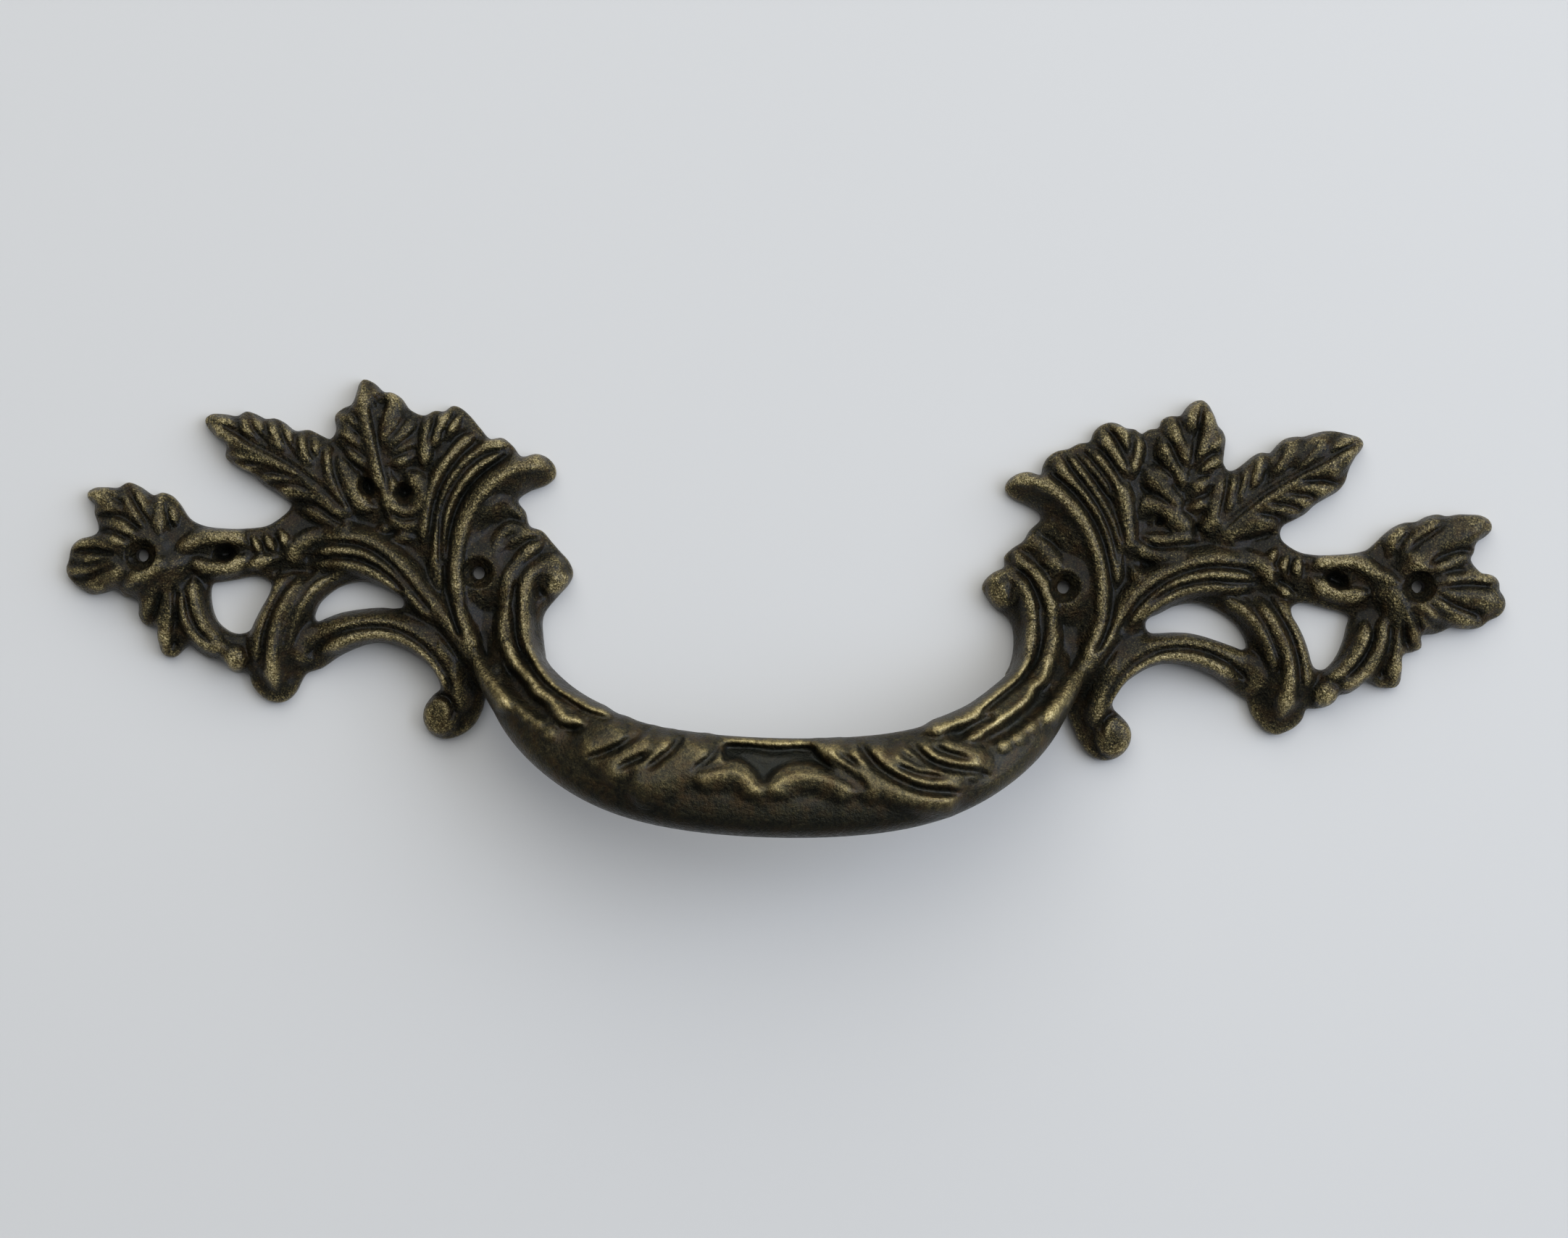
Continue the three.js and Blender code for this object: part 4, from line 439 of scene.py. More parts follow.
right_top_leaf = [
    [0.7, [54, 24.3], [53.2, 23.2], [53, 21.8], [52.9, 20.2]],
    [0.75, [54.7, 23.8], [55.1, 22.2], [55.1, 20.4], [54.2, 18.6], [53.4, 16.6]],
    [0.8, [50.2, 22.1], [50.7, 20.6], [51.5, 18.9], [52.1, 17.2], [52.2, 15.6]],
    [0.75, [48.9, 19.6], [49.7, 17.7], [50.7, 15.9], [51.5, 14.2], [51.6, 12.8]],
    [0.65, [47.9, 15.9], [49.3, 15], [50.8, 13.9]],
    [0.8, [47, 15.8], [48.3, 14.3], [49.5, 12.7], [50.8, 11.1], [51.4, 9.8]],
    [0.75, [56.8, 20.2], [55.8, 19.2], [54.8, 17.8]], [0.7, [56.9, 17.2], [55.4, 16.3], [53.8, 15.1]],
    [0.85, [55.6, 14.8], [54.2, 13.7], [52.7, 12.3]], [0.7, [55.3, 12.2], [53.9, 11.3], [52.5, 10.7]],
    [0.8, [46.4, 9.6], [47.3, 10.8], [48.7, 11.1], [50.1, 10.1], [51.3, 9], [52.3, 8], [52.9, 6.9]],
    [0.6, [46.8, 6.9], [48.4, 6.4], [50.2, 6.3], [52, 6.8], [53.8, 6.7]],
    [0.65, [55.5, 7.2], [55.1, 8.6], [54.9, 9.6]],
    [0.6, [45.4, 6.2], [46.8, 5.1], [48.6, 4.5], [50.8, 4.6], [53, 5.4]],
    [0.6, [45.4, 2.9], [46.3, 1.6], [47.8, 1.7]]]
right_fan = [
    [0.7, [45.8, 20], [45.9, 18.6], [45.5, 16.6], [45.3, 14.6]],
    [0.7, [42.6, 21.1], [43.8, 20.4], [44.6, 19], [45, 17.4]],
    [0.85, [41.2, 20.2], [42, 18.9], [43.1, 17.4], [44.1, 15.8], [44.7, 14.4]],
    [0.95, [39.6, 17.8], [41, 16.4], [42.4, 14.8], [43.6, 13], [44.4, 11], [44.6, 8.8], [44.9, 6.6],
     [45.5, 4.6]],
    [0.6, [38.2, 17.2], [39.8, 15.6], [41.3, 13.8], [42.6, 12.1]],
    [0.65, [37, 17], [38.5, 15.2], [40, 13.3], [41.4, 11.3], [42.6, 9.2], [43.5, 6.9], [44, 4.4]],
    [0.9, [35.4, 16.8], [36.4, 15], [37.9, 13.2], [39.5, 11.4], [40.9, 9.3], [42, 7.1], [42.7, 4.9],
     [43.1, 2.5], [43.2, 0]]]
right_rims = [
    [1.15, [29.6, 13.4], [30.9, 14.2], [32.8, 14.1], [34.7, 13.2], [36.4, 12], [38, 10.3], [39.5, 8.2],
     [40.7, 5.9], [41.6, 3.4], [42, 0.9], [42.1, -1.6], [42, -4.2], [41.4, -6.4], [40.6, -8.4],
     [39.6, -10.2]],
    [0.85, [30.3, 4.6], [31, 3.2], [32.2, 2.1], [33.2, 0.9], [34.1, -0.6], [34.8, -2.4], [35.2, -4],
     [35.4, -6], [35.2, -8], [34.9, -9.6], [34.5, -11], [33.9, -12.1], [32.9, -12.9], [32.5, -14],
     [31.8, -15], [30.9, -15.8], [30, -16.6], [28.5, -17.7], [26.5, -18.8], [24, -20.3]],
    [1.1, [29.3, -1], [28.3, -0.2], [27.8, 0.8], [28.4, 1.5], [29.4, 1.6], [30.4, 1.1], [31.4, 0.1],
     [32.2, -1.4], [32.7, -3], [32.9, -5], [32.8, -7], [32.5, -8.6], [31.9, -10.4], [31, -12], [30, -13],
     [28.8, -14], [27, -15.5], [25.2, -16.8], [23.5, -17.6], [21.6, -18.4], [19, -19.2]]]
right_wrinkles = [
    [0.95, [33, 7.2], [34.4, 7.7], [36, 7.1], [37.4, 5.9], [38.7, 4.4]],
    [0.9, [31.1, 5.2], [32.6, 5.9], [33.9, 5.1], [35, 3.7], [36.2, 2.6]]]
right_scroll = [
    [1.15, [62.8, 0.8], [63.3, 2], [62.4, 3.3], [60.8, 4], [58.8, 4.4], [56.2, 4.4], [53.8, 3.9],
     [51.4, 2.9], [49.4, 2], [47.5, 0.9], [45.8, -0.6], [44.5, -2.5], [43.2, -4.6], [41.9, -6.8],
     [40.7, -9], [39.5, -11], [38.3, -12.6], [37.2, -14.2], [36, -15.8], [34.4, -17.8]],
    [0.85, [61.2, 1.9], [58.8, 1.9], [56, 2.1], [53.2, 1.6], [50.8, 0.7], [48.6, -0.8], [46.7, -2.6],
     [45.2, -4.6]],
    [0.8, [61, 0.6], [58.2, 0.5], [55.2, 0.5], [52.4, 0], [50, -1.1], [47.9, -2.6], [46.1, -4.4]]]
right_strap = [
    [0.9, [57.2, -0.8], [59.6, -1.9], [61.5, -3.6], [62.9, -5.6], [63.8, -7.8], [64.2, -10.2]],
    [1, [61.9, -0.9], [63.2, -2.7], [64.6, -4.9], [65.7, -7.2], [66.3, -9.6], [66.4, -12], [65.9, -14.2],
     [65.2, -16]],
    [0.8, [64.1, -0.7], [65.7, -2.6], [67, -4.8], [67.9, -7.2], [68.5, -9.6], [68.8, -12.6]]]
right_lower_scroll = [
    [1.1, [60.7, -12.8], [61.9, -12], [61.9, -10.4], [60.6, -9], [58.6, -7.9], [56.2, -7], [53.6, -6.6],
     [51, -6.6], [48.6, -7], [46.4, -7.9], [44.4, -9.5], [42.8, -11.5], [41.7, -13.7], [41.2, -16],
     [41.5, -18.4]],
    [0.9, [59, -11.2], [57, -9.9], [54.6, -8.9], [51.8, -8.4], [49, -8.6], [46.6, -9.7], [44.5, -11.6],
     [43.1, -13.8], [42.6, -15.6]]]
right_ground = [
    [3.8, [89.6, 8.8], [85.6, 6.2], [82.6, 3.4], [80, 1]], [3.6, [90.6, 0], [87, 0.4], [82, 0.8]],
    [2.6, [82.4, -4.4], [81, -1.6], [78.4, 0.4]],
    [3.4, [80, 1.4], [76, 2], [71, 2.4], [66.4, 3.2], [62, 4.6]],
    [3.2, [77.4, -2], [77, -5.2], [75.6, -8.6], [73, -11.2], [69.4, -12.4]],
    [4, [72.4, 18.2], [69, 16.4], [65, 14], [61, 11.6], [57.5, 8.8], [54, 6.6]],
    [4.6, [54.2, 21.6], [53.6, 17.6], [52, 13], [50.6, 8.6], [49.4, 4.6]],
    [4, [42.6, 18.6], [44, 14], [44.6, 9], [44.6, 4.4], [43.6, 0.6]],
    [4, [35.6, 14.4], [38.6, 11.6], [41, 7], [42, 2], [42.2, -3]],
    [5, [32, 5.8], [34.6, 3.4], [38, 0.6], [38.4, -5], [36.4, -10]],
    [4, [29.6, 0], [32.6, -1.8], [34, -5], [33.9, -8.6], [32.8, -11]],
    [4, [60, 2], [56.8, 2.4], [53, 2], [50, 0.8], [47.2, -1.4], [44.4, -4.8], [41, -8.8], [38, -13]],
    [3.4, [59.6, -11.2], [56, -9.4], [52, -8.3], [48.4, -8.8], [45, -10.9], [42.8, -14], [42.2, -17.4]],
    [3.6, [60.6, -2.6], [63.4, -4.8], [65.4, -8.2], [66, -12], [65.4, -15.4]]]
right_mass = [
    [3.4, [60, 2], [56.8, 2.4], [53, 2], [50, 0.8], [47.2, -1.4], [44.4, -4.8], [41.8, -8.8],
     [38.8, -13]],
    [2.7, [59.6, -11.2], [56, -9.4], [52, -8.3], [48.4, -8.8], [45, -10.9], [42.8, -14], [42.2, -17.4]],
    [2.9, [60.6, -2.6], [63.4, -4.8], [65.4, -8.2], [66, -12], [65.4, -15.4]],
    [3, [29.6, 0], [32.2, -1.8], [33.4, -5], [33, -8.6], [31.8, -11.4], [30, -13.6]],
    [2.5, [65.1, -15.6], [65.6, -13], [65.4, -10]],
    [2, [30.9, 13], [33, 12.9], [35, 11.8], [37, 9.9], [38.8, 7.4], [40.2, 4.4], [40.8, 1.4], [41, -1.6],
     [40.4, -5], [39.3, -8.4]]]
right_flank = [
    [3, [32, 12.6], [35, 11], [37.6, 8.4], [39.4, 5], [40, 1.6], [40.2, -2], [39.8, -5], [39.2, -8.4]],
    [2.4, [36.6, 14.8], [39.4, 12], [41.6, 8], [42.6, 3.4], [42.8, -1.6], [42.4, -4.6], [41.4, -7.4]]]
right_hollow = [
    [1.05, 2.6, [70.6, 2.3], [71.9, 1.9], [73.6, 0.9]], [0.95, 1.9, [53.8, 8.4], [53.75, 7.9]],
    [0.8, 1.3, [54.2, 10.1], [55, 10.4]], [1, 1.9, [48.8, 9.3], [49.3, 8.4]],
    [0.6, 1, [47.5, 8.7], [47.4, 7.9]],
    [0.42, 1.3, [74.3, 19.7], [72, 18.5], [70, 17.2], [67, 15.6], [65, 14.4], [62.5, 12.8], [60.5, 11.2],
     [58.5, 9.5], [57, 8]],
    [0.42, 1.3, [54, 23.6], [53.8, 22], [53.6, 20], [53.2, 18], [52.7, 16.4]],
    [0.32, 1, [79.6, 6], [80.6, 7.4], [82, 8.4]], [0.35, 1, [81.2, 5.6], [82.4, 6.9], [84, 8], [86, 9.3]],
    [0.5, 1.4, [83.8, 4.1], [86, 5.3], [88, 6], [89.8, 6.3]],
    [0.4, 1.2, [85.2, 3], [87, 3.3], [89.2, 3.5]],
    [0.45, 1.2, [86, 1.2], [88.6, 1.5], [91, 1.5], [92.6, 1.2]],
    [0.42, 1.2, [84.9, 0], [87.2, -0.9], [89.6, -1.8], [91.6, -2]],
    [0.35, 1, [83.2, -0.8], [85, -1.7], [87, -2.7]], [0.35, 1, [82.4, -1.8], [83.8, -2.9], [85.4, -3.6]],
    [0.5, 1.4, [81.2, -1.4], [82.6, -3.2], [83.2, -4.8]],
    [0.5, 1.4, [80.9, -3.4], [81.2, -5.6], [81.6, -7]],
    [0.5, 1.4, [79.3, -3.4], [79.3, -6], [78.9, -8.4], [78.2, -10.8]],
    [0.4, 1.2, [77.2, -4.4], [76.6, -6.8], [75.2, -9], [73.6, -10.6]],
    [0.32, 1, [68.2, 4], [67.8, 3], [68, 2.2]], [0.32, 1, [66.3, 4.4], [65.9, 3.4], [66.1, 2.4]],
    [0.32, 0.9, [64.8, 5], [64.2, 4], [64.2, 3]],
    [0.45, 1.2, [63.6, 2.6], [64.8, 1.6], [66.4, 0.4], [67.2, -0.2]],
    [0.45, 0.9, [69.4, 19.9], [68, 18.4], [66.6, 16.8], [65.6, 15.6]],
    [0.4, 0.9, [65, 19.4], [64.2, 17.6], [63.2, 16], [62.2, 14.6]],
    [0.35, 1, [61.4, 17.6], [60.7, 15.6], [60.2, 13.6], [59.6, 12]],
    [0.32, 0.9, [59.4, 16], [59.1, 14], [58.5, 12]],
    [0.35, 1.1, [57.6, 15], [57.4, 13], [57, 11], [56.6, 9.2]],
    [0.42, 1.2, [67, 14.6], [69, 14.7], [71.8, 14.6]],
    [0.4, 1.1, [65.5, 12.85], [67.5, 12.8], [69.4, 12.6]],
    [0.38, 1.1, [63, 11.6], [65.5, 11.4], [67.8, 10.8]],
    [0.38, 1.1, [61.5, 10.15], [64, 10], [66.6, 9.8]],
    [0.5, 1.3, [58.4, 6.4], [60.6, 6.9], [62.4, 7.4], [64, 8]],
    [0.4, 1.2, [51, 22.2], [51.7, 20.5], [52.4, 18.6]],
    [0.4, 1.1, [49.8, 19.8], [50.6, 17.8], [51.8, 15.4]], [0.35, 1, [57, 19], [55.2, 17.4], [53.6, 16]],
    [0.4, 1.2, [57, 16.4], [55.2, 15.4], [53.3, 14.3]], [0.4, 1.1, [55.8, 13.6], [54, 12.1], [52, 11]],
    [0.35, 1, [48, 17], [49, 15.9], [50.6, 14.6], [51.2, 12.6]],
    [0.4, 1.1, [46.2, 13.6], [47.4, 12.6], [49, 11.9], [50.4, 10.9]],
    [0.35, 1, [47.2, 5.85], [48.6, 5.6], [50.2, 5.7], [51.8, 6]],
    [0.65, 1.3, [46.5, 3.7], [47.6, 3.2], [48.8, 3]],
    [0.4, 1.1, [44.6, 20.6], [45.1, 18.8], [45.1, 16.6]],
    [0.4, 1.2, [42.2, 20.6], [43.1, 19], [44.1, 17.2], [44.9, 15.6]],
    [0.45, 1.3, [40.8, 18.4], [42, 16.8], [43.3, 14.9], [44.4, 13.2]],
    [0.35, 1, [39, 17.6], [40.6, 15.9], [42.2, 13.7], [43.4, 11.6]],
    [0.4, 1.1, [37.7, 17.3], [39.3, 15.4], [40.9, 13.3], [42.3, 10.9], [43.5, 8.4], [44.3, 5.8]],
    [0.4, 1.2, [36.3, 16.9], [37.6, 14.9], [39.2, 12.9], [40.8, 10.7], [42, 8.5], [43, 5.8], [43.6, 3]],
    [0.5, 1.5, [34.4, 14.6], [36.6, 13.1], [38.6, 11.2], [40.2, 9], [41.4, 6.6], [42.2, 4], [42.8, 1.2],
     [43, -2], [42.7, -4.4], [41.9, -6.6], [41, -8.4]],
    [0.45, 1.3, [30.6, 2.2], [32, 1.2], [33.3, -1], [34, -3.4], [34.1, -6], [33.6, -8.6], [32.6, -11]],
    [0.5, 1.4, [30.2, 0.6], [29.6, -0.1], [29.8, -1.1], [29.7, -2.2]],
    [0.4, 0.9, [33.3, 6.6], [34.8, 6], [36.2, 4.5]], [0.4, 1, [33, 3.2], [34.4, 1.8], [35, 0.4]],
    [0.5, 1.3, [61.8, 2.5], [59.4, 3], [56.4, 3.1], [53.4, 2.7], [50.8, 1.7], [48.6, 0.2], [46.6, -1.6],
     [45, -3.8], [43.6, -6]],
    [0.42, 1.2, [61, 1.2], [58.2, 1.1], [55.4, 1.2], [52.6, 0.7], [50, -0.3], [47.8, -1.8]],
    [0.42, 1.2, [58, -0.4], [60.4, -1.6], [62.2, -3.6], [63.5, -5.9], [64.6, -8.6], [65.2, -11]],
    [0.5, 1.3, [62.8, -0.7], [64.6, -3], [66, -5.4], [67, -8.2], [67.4, -11], [67.2, -14]],
    [0.45, 1.2, [60.9, -11.4], [59, -9.8], [56.4, -8.4], [53.4, -7.6], [50.4, -7.7], [47.8, -8.6],
     [45.4, -10.3], [43.6, -12.6], [42.5, -15]],
    [0.55, 1.6, [44, -15.9], [42.8, -16.6], [42, -17.9], [42.3, -19]]]
right_balls = [
    [71.1, -13.1, 1.9], [43.9, -19.3, 2.8], [28.7, -1, 2.2]]

# Grip and legs, as seen from the front
fold_lines = [
    [1.7, [-19.8, -19.2], [-21.5, -20.5], [-23.5, -21.7], [-26, -22.8]],
    [1.25, [-16.2, -20.2], [-17.6, -21.9], [-19.2, -23.4], [-21.2, -24.6], [-23.2, -25.3]],
    [1, [-13.7, -20.4], [-14.8, -22], [-16.2, -23.4], [-17.8, -24.8], [-19.4, -25.9]],
    [1.5, [-9.2, -21], [-10.6, -22.6], [-12.4, -23.9], [-14.4, -25.2], [-17, -26.6], [-19.6, -27.4]],
    [1.2, [-11.4, -26.1], [-9.2, -25.1], [-7, -24.7], [-5.2, -24.7], [-3.9, -25.2], [-3, -26],
     [-2.3, -27], [-1.7, -28.4]],
    [1.2, [-1.4, -28.2], [-0.6, -26.8], [0.5, -25.8], [1.8, -25], [3.2, -24.8], [5, -24.8], [7, -25.3],
     [9, -26.1], [11, -27]],
    [1.15, [5.4, -21.2], [6.6, -22.3], [8.4, -23.5], [10.4, -24.8], [12.6, -26], [15, -27]],
    [0.85, [8.9, -21.3], [10.2, -22.4], [11.4, -23.9], [12.6, -25]],
    [1, [12, -25], [13.6, -26], [15.6, -26.8], [18.4, -27.6], [21.5, -27.9], [24, -27.4]],
    [1, [11.6, -21], [13, -22.4], [14.4, -23.8], [16.4, -24.9], [19, -25.7], [22, -26], [24.5, -25.8]],
    [0.75, [14.2, -21.6], [15.6, -22.7], [17.4, -23.7], [19.4, -24.5], [21.5, -24.7]],
    [0.7, [15.8, -21.1], [17.2, -21.9], [18.6, -23], [20.2, -23.8], [22.4, -24.4], [25, -24.8]],
    [0.9, [18.2, -20.6], [19.6, -21.6], [21.4, -22.6], [23.6, -23.2], [26, -23.4], [27.5, -23.6]],
    [0.8, [20.4, -20.2], [22.2, -21], [24.2, -21.7], [26, -22.3], [27.6, -22.6]]]
leg_bands = [
    [1.2, [-34.8, -1], [-35, -4], [-35, -7], [-34.4, -9.4], [-33.1, -12], [-31.2, -14.2], [-29, -16.3],
     [-26.6, -17.9]],
    [1.2, [33.6, -1.6], [34.4, -4.5], [34.6, -7], [34.1, -9.6], [32.4, -12.4], [31, -14], [29, -16],
     [27, -17.5]]]
slash_lines = [
    [0.5, 0.8, [-16.4, -19.4], [-17.8, -20.4], [-18.8, -21], [-20.2, -21.9], [-22.2, -22.9],
     [-24.9, -23.8]],
    [0.45, 0.8, [-16.3, -22.7], [-17.6, -23.4], [-19.5, -24.3], [-20.8, -25.2]],
    [0.5, 0.8, [-11.9, -20.3], [-12.6, -21.1], [-13.4, -22.1], [-14.8, -23.3], [-17, -25]],
    [0.45, 0.7, [-7.3, -21.6], [-7.8, -22.5], [-8.8, -23.4], [-10.1, -24.4], [-11, -25.2]],
    [0.4, 0.7, [7.6, -21.9], [8.6, -22.6], [9.8, -23.3], [10.8, -24.1]],
    [0.6, 0.9, [10.4, -20.9], [11.2, -21.9], [12, -22.7], [13.2, -23.9], [14.6, -24.9], [16.4, -25.8],
     [18.5, -26.6], [21, -26.9], [24, -26.9]],
    [0.38, 0.6, [15.6, -21.7], [16.8, -22.4], [18.2, -23.2], [19.6, -23.9]],
    [0.38, 0.6, [15.5, -23.6], [16.8, -24.1], [18.6, -24.7], [20.8, -25], [22, -25]],
    [0.55, 0.9, [16.4, -20.7], [17.6, -21.3], [18.8, -22.3], [20.2, -23.2], [22, -23.8], [24.2, -24.1],
     [26.2, -24.2], [27.8, -24.8]],
    [0.4, 0.7, [19.6, -20.7], [21, -21.5], [22.6, -22], [25.2, -22.6]],
    [0.5, 0.5, [-11, -25.3], [-9, -24.6], [-7, -24.1], [-5.4, -24.1], [-4.1, -24.5], [-3.1, -25.3],
     [-2.3, -26.4], [-1.8, -27.3]],
    [0.5, 0.5, [-1.5, -27.3], [-0.9, -26.2], [0.3, -25.2], [1.7, -24.5], [3.2, -24.2], [5.2, -24.3],
     [7.2, -24.9], [9.2, -25.8], [10.8, -26.7]],
    [0.9, 0.6, [5, -21.9], [6.4, -23.3], [8.4, -24.5], [10.6, -26], [12, -26.9]],
    [0.42, 0.8, [-34.1, -1.5], [-34.2, -4], [-34.1, -6.4], [-33.6, -9], [-32.3, -11.6], [-30.7, -13.8],
     [-28.8, -15.4], [-27, -16.5], [-25.5, -17.4], [-24, -18], [-22.5, -18.4], [-21.2, -18.5]],
    [0.7, 0.6, [-27.8, -19.6], [-26.3, -20], [-24.9, -19.9]],
    [1.2, 0.7, [-35.4, -12.2], [-34, -14.8], [-32, -16.8], [-29.8, -18.5]],
    [0.42, 0.8, [31.8, 1.2], [32.8, -0.6], [33.4, -3], [33.6, -6], [33.3, -8.4], [32.6, -10.6],
     [31.3, -12.4], [29.5, -14], [28, -15.3], [26.2, -16.8]],
    [1, 0.5, [21.6, -19.4], [23.5, -19.2], [26, -18.4], [28.5, -16.8]],
    [1.1, 0.7, [35, -12.6], [33.8, -15], [31.8, -17], [29, -18.8], [26.6, -20.1]]]
recess_outline = [
    [-7.1, -21.4], [-7.2, -22.6], [-6.9, -23.5], [-5.4, -23.7], [-4.1, -24.1], [-3, -25], [-2.2, -26],
    [-1.6, -26.6], [-1, -25.9], [0.2, -24.8], [1.5, -24.2], [3, -23.9], [5, -24], [6.6, -24.4],
    [7.6, -24.5], [6.6, -23.6], [5.6, -22.6], [4.9, -21.4], [0, -21.4]]
recess_ripples = [
    [0.9, [-4.6, -22.3], [-2.6, -22.9], [-0.8, -23.3], [1.2, -23.1], [3.4, -22.5]],
    [0.6, [-2, -24.6], [-1.4, -25.3], [-0.8, -25.4]]]
bead_places = [
    [-36.9, -12.2], [-36, -13.9], [-35.5, -15.3], [-34.5, -16.4], [-33.5, -17.4], [-32.3, -18.3],
    [-31.1, -19.4], [-29.7, -20.4], [36, -14.6], [34.3, -16.4], [32.8, -18], [31.3, -19.5], [29.4, -20.6]]

# Families of carving: how far each stands above the ground under it, in millimetres, how much
# wider than its drawn crest line it spreads, and its lines
CARVING = [
    (1.2, 2.1, left_end_leaf + left_long_leaf + left_top_leaf),
    (1.2, 2.1, right_end_leaf + right_long_leaf + right_top_leaf),
    (1.25, 1.6, left_branch + left_hoop + left_strap + left_fan),
    (1.25, 1.6, right_branch + right_hoop + right_strap + right_fan),
    (1.1, 1.45, left_scroll + left_lower_scroll + right_scroll + right_lower_scroll),
    (1.25, 1.4, left_rims + right_rims),
    (0.75, 1.7, left_wrinkles + right_wrinkles),
    (0.95, 1.0, leg_bands),
    (1.0, 2.4, fold_lines)]

# Heights of the balls, beads and ripples, the beads' radius and the recesses' depth
BALL_RISE = 1.5
BEAD_RISE = 0.55
BEAD_RADIUS = 1.2
RIPPLE_RISE = 0.55
RECESS_DEPTH = 1.7

# A hollow spreads wider than drawn and is cut to a share of its depth, the greater share where
# it is deeper and wider than these limits in millimetres
HOLLOW_SPREAD = 1.15
DEEP_SHARE = 0.85
SHALLOW_SHARE = 0.5
DEEP_FROM = 1.5
WIDE_FROM = 0.7

# Blur of the finished carving, in millimetres, and how far down and out in the drawing the wings'
# blur gives way to the grip's, as the start and end of each fade
WING_BLUR = 0.15
GRIP_BLUR = 0.22
GRIP_FROM = (15, 18.5)
GRIP_TO = (33, 36)

# A ridge swells over this many millimetres at each end, from this share of its height
END_TAPER = 2.0
END_SHARE = 0.35


def sample_curve(points, step=0.35, closed=False):
    """Centripetal Catmull-Rom curve through the points, as points about a step apart."""
    points = np.asarray(points, float)
    if closed:
        p = np.vstack([points[-1:], points, points[:2]])
    else:
        p = np.vstack([2 * points[:1] - points[1:2], points, 2 * points[-1:] - points[-2:-1]])
    gap = np.sqrt(np.linalg.norm(np.diff(p, axis=0), axis=1))
    knots = np.concatenate([[0], np.cumsum(np.maximum(gap, TINY))])
    parts = []
    for i in range(1, len(p) - 2):
        count = max(2, int(np.linalg.norm(p[i + 1] - p[i]) / step) + 1)
        t = np.linspace(knots[i], knots[i + 1], count, endpoint=False)[:, None]
        k = knots[i - 1:i + 3]
        a1 = ((k[1] - t) * p[i - 1] + (t - k[0]) * p[i]) / (k[1] - k[0])
        a2 = ((k[2] - t) * p[i] + (t - k[1]) * p[i + 1]) / (k[2] - k[1])
        a3 = ((k[3] - t) * p[i + 1] + (t - k[2]) * p[i + 2]) / (k[3] - k[2])
        b1 = ((k[2] - t) * a1 + (t - k[0]) * a2) / (k[2] - k[0])
        b2 = ((k[3] - t) * a2 + (t - k[1]) * a3) / (k[3] - k[1])
        parts.append(((k[2] - t) * b1 + (t - k[1]) * b2) / (k[2] - k[1]))
    if not closed:
        parts.append(p[-2:-1])
    return np.vstack(parts)


